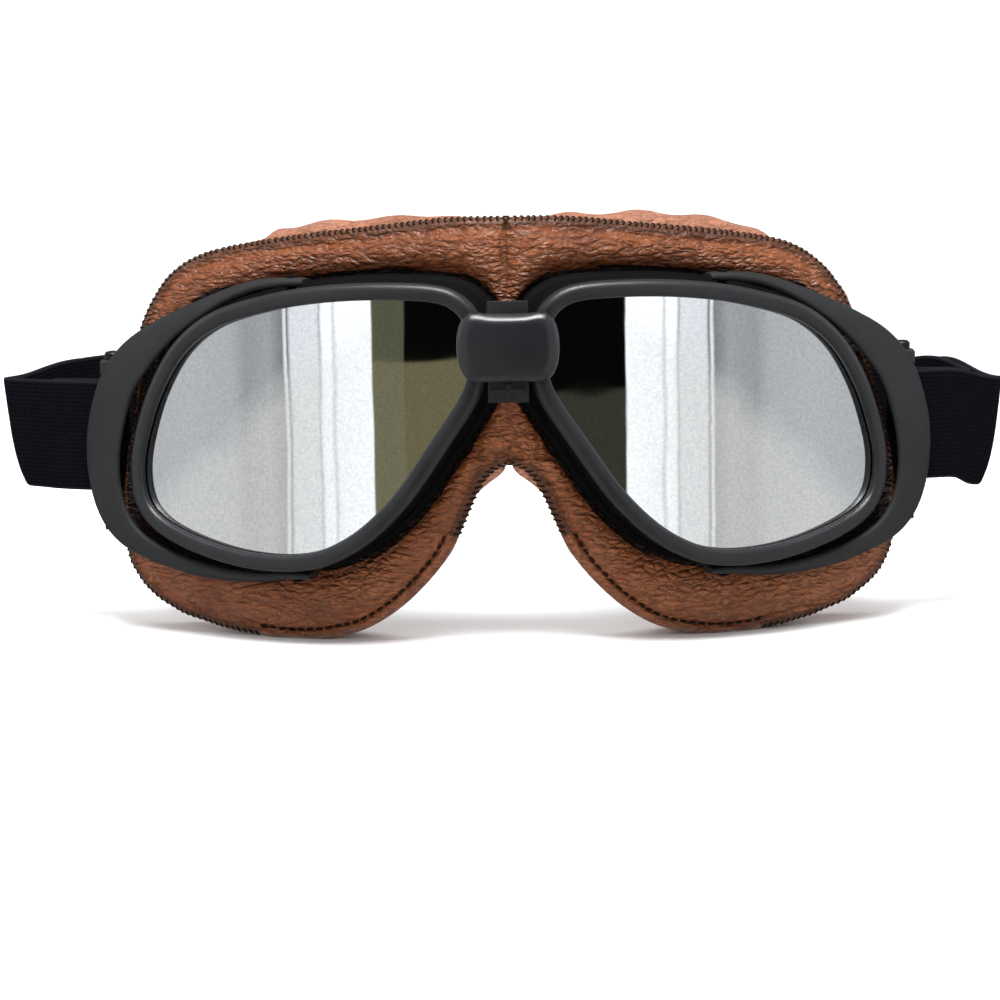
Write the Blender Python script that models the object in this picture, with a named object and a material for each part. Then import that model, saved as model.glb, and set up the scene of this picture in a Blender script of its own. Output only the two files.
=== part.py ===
"""Motorcycle goggles: two eyecups hinged at a nose bridge, a padded leather mask in two halves,
swinging strap arms and an elastic strap with an adjuster. Metres, +Z up, the lenses face -Y."""

import math

import bmesh
import bpy
from mathutils import Matrix, Vector

MM = 0.001
GAP = 0.3                       # clearance between touching pieces, mm

# Driving dimensions, in millimetres. Each eyecup has its own plane, turned back by YAW:
# u runs outward along it, f stands forward of it, z is up.
YAW = math.radians(18)
LENS_PEAK = 13.5                # rim's furthest forward point above the mask plane
LENS_PEAK_U = 36.0
LENS_RADIUS = 150.0             # the lens and the rim bend round an upright cylinder
RIM_WIDTH = 3.7
WALL = 1.6
FLANGE = 1.2
FLANGE_NEAREST_U, CLAMP_NEAREST_U = 1.8, 3.2    # nose-side limits, so that the eyecups can fold
WALL_BACK = -1.0
LENS_THICK = 1.6
LENS_OVERLAP = 1.6              # how far the lens runs under the rim's lip
LIP = 2.2
LEATHER_BACK = -2.6
VENT_LENGTH, VENT_HEIGHT, VENT_F = 5.2, 2.2, 2.6
CENTRE_U, CENTRE_Z = 44.0, 47.0

PIVOT_U, PIVOT_F = 47.0, 6.0    # strap arm's upright axis
HINGE_X, HINGE_Y = 3.4, -4.6    # bridge hinge's upright axis
PIN_R = 0.7
KNUCKLE_R = 1.4

COVER_W, COVER_H, COVER_Z = 21.6, 14.6, 66.3
COVER_BACK, COVER_FRONT = -8.9, -12.1

STRAP_LOW, STRAP_HIGH = 31.5, 56.5
STRAP_THICK = 1.4
STRAP_PIN_X, STRAP_PIN_Y = 88.9, 33.6
STRAP_PIN_R = 1.9
STRAP_PIN_LOW, STRAP_PIN_HIGH = 21.4, 63.0
FOLD_X, FOLD_Y = 112.8, 39.0
JOIN_X, JOIN_Y = 80.0, 76.0     # where the strap's side meets its rear run
REAR_Y = 112.0
SLIDER_AT = 0.72                # along the straight run from the fold to the join
SLIDER_THICK = 1.8
SLIDER_MARGIN, SLIDER_ROOM = 2.0, 0.6   # the adjuster's height past the strap, and its window's

CUSHION_NOSE, CUSHION_TEMPLE = 6.0, 17.0
CUSHION_BULGE = 1.8
BULGE_FROM_U, BULGE_TO_U = 8.0, 72.0    # the padding swells past the seam only between these

RING = 56                       # points round an eyecup
SHIFT_Y = -(REAR_Y + COVER_FRONT) / 2

# Outlines in the eyecup's plane, (u, z), clockwise from the nose.
LENS_OUTLINE = [(6.6, 70.5), (9.4, 74.2), (14.5, 75.7), (26, 76), (38, 75.3), (50, 73.4), (63, 69.6),
                (72, 63.4), (78.4, 54.5), (82.4, 45), (84, 37.5), (83, 31), (79.3, 27.1), (72, 24),
                (62, 21.5), (53, 20.5), (45, 20.7), (38, 22.4), (30, 27), (22, 34.8), (14.5, 45.4),
                (7.2, 56.6), (5.9, 63)]
MASK_OUTLINE = [(0, 93), (14, 92.7), (30, 91), (45, 89.4), (57, 87.8), (66, 86), (72.4, 83.3),
                (77.5, 79), (81.5, 73.5), (84.5, 66), (87.8, 52), (90.6, 35), (91.2, 21.5),
                (89.4, 13.5), (84, 7.8), (76, 3.8), (66, 1.2), (53, -0.4), (43, 0.2), (34, 2.6),
                (25.5, 7.4), (18.5, 13.6), (13, 20.6), (9.4, 27), (6.6, 32), (3.6, 37), (0, 39.4)]

# Strap arm at rest: inner and outer edge of its plate in the eyecup's (u, f, z), from the top
# pivot round the temple to the bottom pivot.
ARM_INNER = [(43.4, 8.8, 79.4), (49, 8.8, 79.2), (56, 7.8, 77.6), (64, 6.8, 74.0), (74.5, 5.8, 67.2),
             (82, 5.0, 60), (86.8, 4.4, 53), (90.2, 3.8, 41), (89.8, 3.9, 31), (85.6, 4.6, 23.8),
             (77, 5.6, 19.2), (66, 6.6, 16.2), (56, 7.6, 15.2), (49, 8.6, 15.4), (43.4, 8.6, 15.4)]
ARM_OUTER = [(43.4, 3.2, 79.4), (49, 3.2, 79.4), (56.6, 3.8, 79.0), (65.6, 3.8, 76.4), (77.6, 3.6, 71.6),
             (88.4, 2.4, 65.6), (95.6, 1.0, 57), (99.6, 0.2, 43), (98.8, 0.4, 29), (92, 2.0, 20),
             (78, 3.2, 15.4), (66.4, 3.8, 13.6), (56, 4.0, 13.8), (49, 3.2, 15.2), (43.4, 3.2, 15.4)]
ARM_TOP_Z, ARM_MIDDLE_Z, ARM_BOTTOM_Z = 79.4, 41.0, 15.4
ARM_THICK = 1.8
EAR_TOP, EAR_BOTTOM, EAR_HEIGHT = 58.4, 23.2, 2.6


def clear_scene():
    for obj in list(bpy.data.objects):
        bpy.data.objects.remove(obj, do_unlink=True)


def material(name, color, roughness, metallic=0.0):
    found = bpy.data.materials.get(name)
    if found:
        return found
    made = bpy.data.materials.new(name)
    made.use_nodes = True
    shader = made.node_tree.nodes["Principled BSDF"]
    shader.inputs["Base Color"].default_value = (*color, 1.0)
    shader.inputs["Roughness"].default_value = roughness
    shader.inputs["Metallic"].default_value = metallic
    made.diffuse_color = (*color, 1.0)
    return made


def matte_black():
    return material("matte_black", (0.028, 0.029, 0.033), 0.5)


def metal():
    return material("dark_steel", (0.25, 0.25, 0.26), 0.35, 1.0)


def place(side, u, f, z):
    """A point of one eyecup's plane, in the object's frame, in metres."""
    x = side * (u * math.cos(YAW) + f * math.sin(YAW))
    y = u * math.sin(YAW) - f * math.cos(YAW) + SHIFT_Y
    return Vector((x, y, z)) * MM


def point(x, y, z):
    return Vector((x, y + SHIFT_Y, z)) * MM


def rim_front(u):
    return LENS_PEAK - (u - LENS_PEAK_U) ** 2 / (2 * LENS_RADIUS)


def catmull(p0, p1, p2, p3, t):
    return 0.5 * ((2 * p1) + (p2 - p0) * t + (2 * p0 - 5 * p1 + 4 * p2 - p3) * t * t
                  + (3 * p1 - p0 - 3 * p2 + p3) * t * t * t)


def smooth_line(points, closed, steps=12):
    """A dense curve through the points."""
    pts = [Vector(p) for p in points]
    count = len(pts)
    dense = []
    for i in range(count if closed else count - 1):
        if closed:
            four = [pts[(i + k) % count] for k in (-1, 0, 1, 2)]
        else:
            four = [pts[max(i - 1, 0)], pts[i], pts[i + 1], pts[min(i + 2, count - 1)]]
        dense += [catmull(*four, s / steps) for s in range(steps)]
    if not closed:
        dense.append(pts[-1])
    return dense


def even_points(dense, count, closed):
    """The dense curve again, as count points at equal distances along it."""
    line = dense + [dense[0]] if closed else dense
    lengths = [0.0]
    for a, b in zip(line, line[1:]):
        lengths.append(lengths[-1] + (b - a).length)
    spaces = count if closed else count - 1
    result, k = [], 0
    for i in range(count):
        want = lengths[-1] * i / spaces
        while k < len(lengths) - 2 and lengths[k + 1] < want:
            k += 1
        part = (want - lengths[k]) / max(lengths[k + 1] - lengths[k], 1e-9)
        result.append(line[k].lerp(line[k + 1], min(max(part, 0.0), 1.0)))
    return result


def normals_2d(ring):
    """Outward unit normals of a closed clockwise ring of 2-D points."""
    count = len(ring)
    result = []
    for i in range(count):
        along = (ring[(i + 1) % count] - ring[i - 1]).normalized()
        result.append(Vector((-along.y, along.x)))
    return result


def lens_ring():
    ring = even_points(smooth_line(LENS_OUTLINE, True), RING, True)
    return ring, normals_2d(ring)


def offset_ring(distance, nearest_u=0.0):
    """The lens outline moved outward, and kept nearest_u or more from the centre line."""
    ring, normals = lens_ring()
    moved = [p + n * distance for p, n in zip(ring, normals)]
    return [Vector((max(p.x, nearest_u), p.y)) for p in moved]


def mask_ring():
    """The mask's outer edge, with its two corners on the centre line kept sharp."""
    outer = even_points(smooth_line(MASK_OUTLINE, False), RING - 7, False)
    nose = [Vector((0.0, 39.4 + (93 - 39.4) * k / 8)) for k in range(1, 8)]
    return outer + nose


def ray_hit(ring, centre, toward):
    """Where the ray from centre through toward crosses a closed ring."""
    ray = (toward - centre).normalized()
    best = None
    for a, b in zip(ring, ring[1:] + ring[:1]):
        edge = b - a
        cross = ray.x * edge.y - ray.y * edge.x
        if abs(cross) < 1e-9:
            continue
        to_a = a - centre
        along = (to_a.x * edge.y - to_a.y * edge.x) / cross
        part = (to_a.x * ray.y - to_a.y * ray.x) / cross
        if along > 0 and -1e-6 <= part <= 1 + 1e-6 and (best is None or along > best):
            best = along
    return centre + ray * best


def finish_mesh(name, bm, mat, smooth_angle=30):
    bmesh.ops.recalc_face_normals(bm, faces=bm.faces)
    mesh = bpy.data.meshes.new(name)
    bm.to_mesh(mesh)
    bm.free()
    mesh.shade_smooth()
    mesh.set_sharp_from_angle(angle=math.radians(smooth_angle))
    mesh.materials.append(mat)
    obj = bpy.data.objects.new(name, mesh)
    bpy.context.scene.collection.objects.link(obj)
    return obj


def skin(bm, loops, closed_section, caps=False):
    """Quads between loops of equal length; each loop is closed on itself."""
    rows = [[bm.verts.new(v) for v in loop] for loop in loops]
    count = len(rows[0])
    pairs = list(zip(rows, rows[1:]))
    if closed_section:
        pairs.append((rows[-1], rows[0]))
    for one, two in pairs:
        for i in range(count):
            k = (i + 1) % count
            bm.faces.new((one[i], one[k], two[k], two[i]))
    if caps:
        bm.faces.new(rows[0])
        bm.faces.new(list(reversed(rows[-1])))
    return rows


def ring_solid(name, loops, mat):
    bm = bmesh.new()
    skin(bm, loops, True)
    return finish_mesh(name, bm, mat)


def set_origin(obj, where):
    """Moves an object's origin without moving its mesh."""
    obj.data.transform(Matrix.Translation(-where))
    obj.location = where


def boolean(obj, other, operation):
    modifier = obj.modifiers.new(operation.lower(), "BOOLEAN")
    modifier.operation = operation
    modifier.solver = "EXACT"
    modifier.object = other
    other.hide_render = True
    other.display_type = "WIRE"


def upright_cylinder(name, x, y, low, high, radius, mat, sides=16):
    bm = bmesh.new()
    loops = []
    for z in (low, high):
        loops.append([point(x + radius * math.cos(2 * math.pi * k / sides),
                            y + radius * math.sin(2 * math.pi * k / sides), z)
                      for k in range(sides)])
    skin(bm, loops, False, caps=True)
    return finish_mesh(name, bm, mat)


def upright_box(name, low, high, mat):
    bm = bmesh.new()
    loops = []
    for z in (low[2], high[2]):
        loops.append([point(low[0], low[1], z), point(high[0], low[1], z),
                      point(high[0], high[1], z), point(low[0], high[1], z)])
    skin(bm, loops, False, caps=True)
    return finish_mesh(name, bm, mat)


def side_name(side):
    return "right" if side > 0 else "left"


def eyecup_frame(side):
    """Rim, side wall and rear flange in one, with a hinge knuckle and nose-side vents."""
    section = [(0.0, -LIP), (0.0, -1.6), (0.9, -0.45), (2.0, 0.0), (3.1, -0.4), (RIM_WIDTH, -1.4)]
    rings = [(offset_ring(o), f) for o, f in section]
    loops = [[place(side, p.x, rim_front(p.x) + f, p.y) for p in ring] for ring, f in rings]
    base = [(RIM_WIDTH, WALL_BACK + 1.5), (RIM_WIDTH + FLANGE, WALL_BACK + 1.2),
            (RIM_WIDTH + FLANGE, WALL_BACK), (RIM_WIDTH - WALL, WALL_BACK)]
    loops += [[place(side, p.x, f, p.y) for p in offset_ring(o, FLANGE_NEAREST_U)] for o, f in base]
    loops.append([place(side, p.x, rim_front(p.x) - LIP, p.y)
                  for p in offset_ring(RIM_WIDTH - WALL)])
    frame = ring_solid("eyecup_frame_" + side_name(side), loops, matte_black())

    hinge_x = side * HINGE_X
    for n, (low, high) in enumerate(((61.0, 65.5), (70.0, 74.6))):
        room = upright_cylinder(f"knuckle_room_{side_name(side)}_{n}", hinge_x, HINGE_Y,
                                low, high, KNUCKLE_R + 0.35, matte_black(), 12)
        boolean(frame, room, "DIFFERENCE")
    knuckle = upright_cylinder(f"knuckle_{side_name(side)}", hinge_x, HINGE_Y,
                               65.9, 69.6, KNUCKLE_R, matte_black(), 12)
    boolean(frame, knuckle, "UNION")
    bore = upright_cylinder(f"knuckle_bore_{side_name(side)}", hinge_x, HINGE_Y,
                            60.0, 76.0, PIN_R + 0.2, matte_black(), 12)
    boolean(frame, bore, "DIFFERENCE")
    for n, at in enumerate((0.675, 0.735, 0.795, 0.855)):
        boolean(frame, vent_cutter(side, n, at), "DIFFERENCE")
    for n, z in enumerate((ARM_BOTTOM_Z, ARM_TOP_Z)):
        hole = upright_cylinder(f"pivot_hole_{side_name(side)}_{n}", *pivot_xy(side),
                                z - 7, z + 7, 1.0 + 0.2, matte_black(), 12)
        boolean(frame, hole, "DIFFERENCE")
    return frame


def vent_cutter(side, number, at):
    """A slot through the side wall, long along the outline."""
    ring, normals = lens_ring()
    index = int(at * RING)
    middle, out = ring[index], normals[index]
    along = Vector((-out.y, out.x))
    bm = bmesh.new()
    loops = []
    for depth in (1.2, 6.5):
        ends = [middle + out * depth + along * a for a in (-VENT_LENGTH / 2, VENT_LENGTH / 2)]
        low, high = VENT_F - VENT_HEIGHT / 2, VENT_F + VENT_HEIGHT / 2
        loops.append([place(side, ends[0].x, low, ends[0].y), place(side, ends[1].x, low, ends[1].y),
                      place(side, ends[1].x, high, ends[1].y), place(side, ends[0].x, high, ends[0].y)])
    skin(bm, loops, False, caps=True)
    return finish_mesh(f"vent_cutter_{side_name(side)}_{number}", bm, matte_black())


def lens(side):
    rings = (1.0, 0.72, 0.42)
    edge = offset_ring(LENS_OVERLAP)
    centre = Vector((CENTRE_U, CENTRE_Z))
    bm = bmesh.new()
    loops = []
    for front, scales in ((True, tuple(reversed(rings))), (False, rings)):
        for scale in scales:
            loop = []
            for p in edge:
                q = centre.lerp(p, scale)
                back = LIP + GAP + (0 if front else LENS_THICK)
                loop.append(place(side, q.x, rim_front(q.x) - back, q.y))
            loops.append(loop)
    rows = skin(bm, loops, False)
    for row, back in ((rows[0], LIP + GAP), (rows[-1], LIP + GAP + LENS_THICK)):
        middle = bm.verts.new(place(side, centre.x, rim_front(centre.x) - back, centre.y))
        for i in range(len(row)):
            bm.faces.new((row[i], row[(i + 1) % len(row)], middle))
    mirror = material("mirror_lens", (0.78, 0.8, 0.82), 0.06, 1.0)
    return finish_mesh("lens_" + side_name(side), bm, mirror)


def lens_retainer(side):
    """Ring behind the lens that presses it against the rim's lip."""
    top = LIP + LENS_THICK + 2 * GAP
    section = [(0.4, top), (1.8, top), (1.8, top + 1.2), (0.4, top + 1.2)]
    loops = [[place(side, p.x, rim_front(p.x) - back, p.y) for p in offset_ring(o)]
             for o, back in section]
    return ring_solid("lens_retainer_" + side_name(side), loops, matte_black())


def clamp_ring(side):
    """Inner ring: a sleeve inside the wall and a flange that holds the leather."""
    section = [(0.8, -1.8), (1.8, -1.8), (1.8, -2.9), (4.5, -2.9), (4.5, -4.1), (0.8, -4.1)]
    loops = [[place(side, p.x, f, p.y) for p in offset_ring(o, CLAMP_NEAREST_U)] for o, f in section]
    return ring_solid("clamp_ring_" + side_name(side), loops,
                      material("ring_plastic", (0.05, 0.05, 0.055), 0.6))


def mask_point(side, inner, outer, t, f, spread):
    """A point of the mask between its hole (t = 0) and its edge (t = 1)."""
    flat = inner.lerp(outer, t)
    away = (outer - inner).normalized()
    on_centre = outer.x < 0.01
    if not on_centre:
        flat = flat + away * spread
    where = place(side, flat.x, f, max(flat.y, 0.0))
    seam = 0.15 * MM
    if on_centre and t > 0.99:
        where.x = side * seam
    elif side * where.x < seam:
        where.x = side * seam
    return where


def mask_rings(hole):
    outer = mask_ring()
    centre = Vector((CENTRE_U, CENTRE_Z))
    hole_line = offset_ring(hole)
    inner = [ray_hit(hole_line, centre, p) for p in outer]
    return inner, outer


def mask_leather(side):
    """Front panel: flat under the eyecup's flange, crowned outside it, thin at the seam."""
    inner, outer = mask_rings(RIM_WIDTH - WALL + 0.5)
    front = WALL_BACK - GAP
    section = [(0.0, LEATHER_BACK, 0), (0.0, front, 0), (0.24, front, 0), (0.42, 1.2, 0),
               (0.6, 1.9, 0), (0.8, 1.2, 0), (0.94, -0.4, 0), (1.0, -1.3, 0), (1.0, LEATHER_BACK, 0),
               (0.5, LEATHER_BACK, 0)]
    loops = []
    for t, f, spread in section:
        loop = []
        for a, b in zip(inner, outer):
            wide = min((b - a).length / 14.0, 1.0)
            crown = f if f <= front else front + (f - front) * wide
            flat_part = min(4.0 / (b - a).length, 0.9)
            part = t if t in (0.0, 1.0) else flat_part + (1 - flat_part) * (t - 0.24) / 0.76
            if t == 0.24:
                part = flat_part
            loop.append(mask_point(side, a, b, max(part, 0.0), crown, spread))
        loops.append(loop)
    leather = material("leather", (0.18, 0.06, 0.03), 0.5)
    return ring_solid("mask_leather_" + side_name(side), loops, leather)


def face_cushion(side):
    """Rear padding, thin at the nose and deep at the temple."""
    inner, outer = mask_rings(RIM_WIDTH + FLANGE + 0.5)
    top = LEATHER_BACK - GAP
    section = [(0.0, 0.0), (0.0, 0.45), (0.12, 0.85), (0.35, 1.0), (0.62, 1.0), (0.86, 0.85),
               (1.0, 0.5), (1.0, 0.15), (1.0, 0.0)]
    spreads = [0, 0, 0, 0, 0, 0.6, 1.0, 0.75, 0]
    loops = []
    for (t, depth), spread in zip(section, spreads):
        loop = []
        for a, b in zip(inner, outer):
            share = min(max(b.x / 82.0, 0.0), 1.0)
            share = share * share * (3 - 2 * share)
            deep = CUSHION_NOSE + (CUSHION_TEMPLE - CUSHION_NOSE) * share
            along = (b.x - BULGE_FROM_U) / (BULGE_TO_U - BULGE_FROM_U)
            bulge = CUSHION_BULGE * math.sin(math.pi * min(max(along, 0.0), 1.0))
            loop.append(mask_point(side, a, b, t, top - depth * deep, spread * bulge))
        loops.append(loop)
    return ring_solid("face_cushion_" + side_name(side), loops,
                      material("cushion_leather", (0.24, 0.09, 0.05), 0.55))


def pivot_xy(side):
    x = side * (PIVOT_U * math.cos(YAW) + PIVOT_F * math.sin(YAW))
    return x, PIVOT_U * math.sin(YAW) - PIVOT_F * math.cos(YAW)


def ear(side, number, low):
    """Lug behind the arm's plate that holds one end of the strap pin."""
    x = side * STRAP_PIN_X
    boss = upright_cylinder(f"ear_boss_{side_name(side)}_{number}", x, STRAP_PIN_Y, low,
                            low + EAR_HEIGHT, STRAP_PIN_R + 1.0, matte_black(), 16)
    neck = upright_box(f"ear_neck_{side_name(side)}_{number}",
                       (min(side * 87.2, side * 91.0), 27.0, low + 0.01),
                       (max(side * 87.2, side * 91.0), STRAP_PIN_Y, low + EAR_HEIGHT - 0.01),
                       matte_black())
    boolean(boss, neck, "UNION")
    return boss


def outrigger(side):
    """C-shaped arm round the outer side of the eyecup, with ears for the strap pin."""
    inner, outer = smooth_line(ARM_INNER, False, 4), smooth_line(ARM_OUTER, False, 4)
    count = len(inner)
    bm = bmesh.new()
    loops = []
    for i in range(count):
        before, after = max(i - 1, 0), min(i + 1, count - 1)
        along = inner[after] - inner[before] + outer[after] - outer[before]
        across = outer[i] - inner[i]
        out = across.cross(along).normalized() * (ARM_THICK / 2)
        edge = across.normalized() * 0.5
        corners = [inner[i] + out * 0.45, inner[i] + edge + out, outer[i] - edge + out,
                   outer[i] + out * 0.45, outer[i] - out * 0.45, outer[i] - edge - out,
                   inner[i] + edge - out, inner[i] - out * 0.45]
        loops.append([place(side, *c) for c in corners])
    skin(bm, loops, False, caps=True)
    arm = finish_mesh("outrigger_" + side_name(side), bm,
                      material("arm_plastic", (0.035, 0.036, 0.038), 0.55))
    for n, low in enumerate((EAR_TOP, EAR_BOTTOM)):
        boolean(arm, ear(side, n, low), "UNION")
    x, y = pivot_xy(side)
    holes = [(x, y, ARM_BOTTOM_Z, 1.0), (x, y, ARM_TOP_Z, 1.0),
             (side * STRAP_PIN_X, STRAP_PIN_Y, STRAP_PIN_LOW, STRAP_PIN_R),
             (side * STRAP_PIN_X, STRAP_PIN_Y, STRAP_PIN_HIGH, STRAP_PIN_R)]
    for n, (x, y, z, radius) in enumerate(holes):
        drill = upright_cylinder(f"arm_hole_{side_name(side)}_{n}", x, y, z - 8, z + 8,
                                 radius + 0.2, matte_black(), 12)
        boolean(arm, drill, "DIFFERENCE")
    return arm


def pivot_pins(side):
    """Headed pins through the arm's ends into the eyecup's wall."""
    x, y = pivot_xy(side)
    made = []
    for name, arm_z, inward in (("top", ARM_TOP_Z, -1), ("bottom", ARM_BOTTOM_Z, 1)):
        outer = arm_z - inward * (ARM_THICK / 2 + GAP)
        levels = [(outer - inward * 0.6, 1.6), (outer, 1.6), (outer, 1.0),
                  (outer + inward * 5.6, 1.0)]
        bm = bmesh.new()
        loops = [[point(x + r * math.cos(2 * math.pi * k / 12), y + r * math.sin(2 * math.pi * k / 12), z)
                  for k in range(12)] for z, r in levels]
        skin(bm, loops, False, caps=True)
        pin = finish_mesh(f"pivot_pin_{name}_{side_name(side)}", bm, metal())
        made.append(pin)
    return made


def bridge_link():
    """Web and knuckles between the eyecups, and the front plate whose ends show past the cover."""
    link = upright_box("bridge_link", (-1.4, -7.2, 60.4), (1.4, -3.4, 75.0), matte_black())
    plate = upright_box("link_plate", (-4.3, -8.6, 54.4), (4.3, -7.0, 75.8), matte_black())
    boolean(link, plate, "UNION")
    rib = upright_box("link_rib", (-0.6, -9.4, 54.9), (0.6, -8.4, 58.4), matte_black())
    boolean(link, rib, "UNION")
    bar = upright_box("link_bar", (-3.6, -9.3, 56.4), (3.6, -8.4, 57.3), matte_black())
    boolean(link, bar, "UNION")
    for side in (-1, 1):
        for low, high in ((61.4, 65.2), (70.4, 74.2)):
            x = side * HINGE_X
            knuckle = upright_cylinder(f"link_knuckle_{side}_{low}", x, HINGE_Y, low, high,
                                       KNUCKLE_R, matte_black(), 12)
            boolean(link, knuckle, "UNION")
            web = upright_box(f"link_web_{side}_{low}", (min(0, x), HINGE_Y - 1.0, low),
                              (max(0, x), HINGE_Y + 0.9, high), matte_black())
            boolean(link, web, "UNION")
            bore = upright_cylinder(f"link_bore_{side}_{low}", x, HINGE_Y, low - 1, high + 1,
                                    PIN_R + 0.2, matte_black(), 12)
            boolean(link, bore, "DIFFERENCE")
    return link


def bridge_cover():
    """Barrel-shaped cap: straight top and bottom, round sides, crowned front."""
    outline = []
    half_w, half_h = COVER_W / 2, COVER_H / 2
    for k in range(40):
        angle = 2 * math.pi * k / 40
        c, s = math.cos(angle), math.sin(angle)
        outline.append((half_w * math.copysign(abs(c) ** 0.62, c),
                        half_h * math.copysign(min(abs(s) ** 0.7 * 1.04, 1.0), s)))
    bm = bmesh.new()
    loops = []
    levels = [(1.0, COVER_BACK), (1.0, COVER_BACK - 1.4), (0.955, COVER_BACK - 2.2),
              (0.86, COVER_FRONT + 0.35), (0.6, COVER_FRONT)]
    for scale, y in levels:
        loops.append([point(x * scale, y, COVER_Z + z * scale) for x, z in outline])
    skin(bm, loops, False, caps=True)
    return finish_mesh("bridge_cover", bm, material("satin_black", (0.02, 0.02, 0.024), 0.3))


def bridge_pin(side):
    return upright_cylinder("bridge_pin_" + side_name(side), side * HINGE_X, HINGE_Y, 61.2, 74.4,
                            PIN_R, metal(), 12)


def strap_pin(side):
    return upright_cylinder("strap_pin_" + side_name(side), side * STRAP_PIN_X, STRAP_PIN_Y,
                            STRAP_PIN_LOW, STRAP_PIN_HIGH, STRAP_PIN_R, metal(), 16)


def arc(cx, cy, radius, start, end, steps):
    return [(cx + radius * math.cos(math.radians(start + (end - start) * k / steps)),
             cy + radius * math.sin(math.radians(start + (end - start) * k / steps)))
            for k in range(steps + 1)]


def wrap(start, end, steps=8):
    """The strap's middle line round the pin."""
    return arc(STRAP_PIN_X, STRAP_PIN_Y, STRAP_PIN_R + GAP + STRAP_THICK / 2, start, end, steps)


def fold_run():
    """From the pin's outer tangent, out to the fold and back to the join with the rear run."""
    turn = 1.5
    return (smooth_2d([(97.0, 33.2), (104, 35.2), (FOLD_X - 2.2, FOLD_Y - 3.0)])
            + arc(FOLD_X - turn, FOLD_Y - 1.4, turn, -70, 55, 5)
            + [straight_run(k / 8) for k in range(9)])


def straight_run(part):
    """A point of the strap's straight run from behind the fold (0) to the join (1)."""
    start_x, start_y = FOLD_X - 3.0, FOLD_Y + 2.2
    return start_x + (JOIN_X - start_x) * part, start_y + (JOIN_Y - start_y) * part


def smooth_2d(points, steps=6):
    return [(p.x, p.y) for p in smooth_line([(*p, 0.0) for p in points], False, steps)]


def ribbon(name, side, line, mat, low=STRAP_LOW, high=STRAP_HIGH, thick=STRAP_THICK):
    """A flat band on edge along a plan-view line."""
    pts = [Vector(p) for p in line]
    count = len(pts)
    bm = bmesh.new()
    loops = []
    for i in range(count):
        along = (pts[min(i + 1, count - 1)] - pts[max(i - 1, 0)]).normalized()
        out = Vector((along.y, -along.x)) * (thick / 2)
        a, b = pts[i] + out, pts[i] - out
        loops.append([point(side * a.x, a.y, low), point(side * b.x, b.y, low),
                      point(side * b.x, b.y, high), point(side * a.x, a.y, high)])
    skin(bm, loops, False, caps=True)
    return finish_mesh(name, bm, mat)


def strap_material():
    return material("elastic", (0.012, 0.013, 0.018), 0.8)


def strap_left():
    """Sewn end inside, round the pin, out to the fold and back to the join."""
    line = smooth_2d([(103.0, 37.6), (97.5, 37.4)]) + wrap(80, 275, 10) + fold_run()
    return ribbon("strap_left", -1, line, strap_material())


def slider_frame():
    """Where the adjuster sits on the straight run, and the run's direction."""
    along = Vector(straight_run(1)) - Vector(straight_run(0))
    return Vector(straight_run(SLIDER_AT)), along.normalized()


def strap_right():
    """The same run, with the end brought back inside it to the adjuster."""
    middle, along = slider_frame()
    inward = Vector((along.y, -along.x)) * -1.0
    over = inward * (STRAP_THICK * 1.5 + SLIDER_THICK + 2 * GAP)
    back = [middle + over + along * 1.0, middle + over - along * 9.0]
    line = ([tuple(p) for p in back]
            + smooth_2d([(104.4, 42.6), (105.4, 40.4), (104.0, 38.9), (98.0, 37.8)])
            + wrap(80, 275, 10) + fold_run())
    return ribbon("strap_right", 1, line, strap_material())


def strap_rear():
    """Rear run, from one join to the other round the back."""
    reach = JOIN_X - 0.3
    points = [(-reach, JOIN_Y + 0.35), (-67.5, 88.4), (-46, 101.2), (-22, 109.4), (0, REAR_Y - 0.7),
              (22, 109.4), (46, 101.2), (67.5, 88.4), (reach, JOIN_Y + 0.35)]
    return ribbon("strap_rear", 1, smooth_2d(points, 5), strap_material())


def strap_slider():
    """Adjuster on the doubled side: an open frame round both layers with a middle bar."""
    middle, along = slider_frame()
    inward = Vector((along.y, -along.x)) * -1.0
    half_length, low, high = 6.0, STRAP_LOW - SLIDER_MARGIN, STRAP_HIGH + SLIDER_MARGIN

    def block(name, along_low, along_high, in_low, in_high, z_low, z_high):
        bm = bmesh.new()
        loops = []
        for z in (z_low, z_high):
            loop = []
            for a, b in ((along_low, in_low), (along_high, in_low), (along_high, in_high),
                         (along_low, in_high)):
                p = middle + along * a + inward * b
                loop.append(point(p.x, p.y, z))
            loops.append(loop)
        skin(bm, loops, False, caps=True)
        return finish_mesh(name, bm, material("slider_plastic", (0.02, 0.02, 0.022), 0.4))

    near = STRAP_THICK / 2 + GAP
    slider = block("strap_slider", -half_length, half_length, near, near + SLIDER_THICK, low, high)
    window = block("slider_window_front", -half_length + 1.6, -1.0, -2, 9,
                   STRAP_LOW - SLIDER_ROOM, STRAP_HIGH + SLIDER_ROOM)
    boolean(slider, window, "DIFFERENCE")
    window = block("slider_window_rear", 1.0, half_length - 1.6, -2, 9,
                   STRAP_LOW - SLIDER_ROOM, STRAP_HIGH + SLIDER_ROOM)
    boolean(slider, window, "DIFFERENCE")
    return slider


def build():
    clear_scene()
    bridge_link()
    bridge_cover()
    strap_left()
    strap_right()
    strap_rear()
    strap_slider()
    for side in (-1, 1):
        hinge = point(side * HINGE_X, HINGE_Y, COVER_Z)
        swing = point(*pivot_xy(side), ARM_MIDDLE_Z)
        on_hinge = [eyecup_frame(side), lens(side), lens_retainer(side), clamp_ring(side),
                    mask_leather(side), face_cushion(side)] + pivot_pins(side)
        for obj in on_hinge:
            set_origin(obj, hinge)
        for obj in (outrigger(side), strap_pin(side)):
            set_origin(obj, swing)
        bridge_pin(side)


build()
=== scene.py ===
import math

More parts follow.
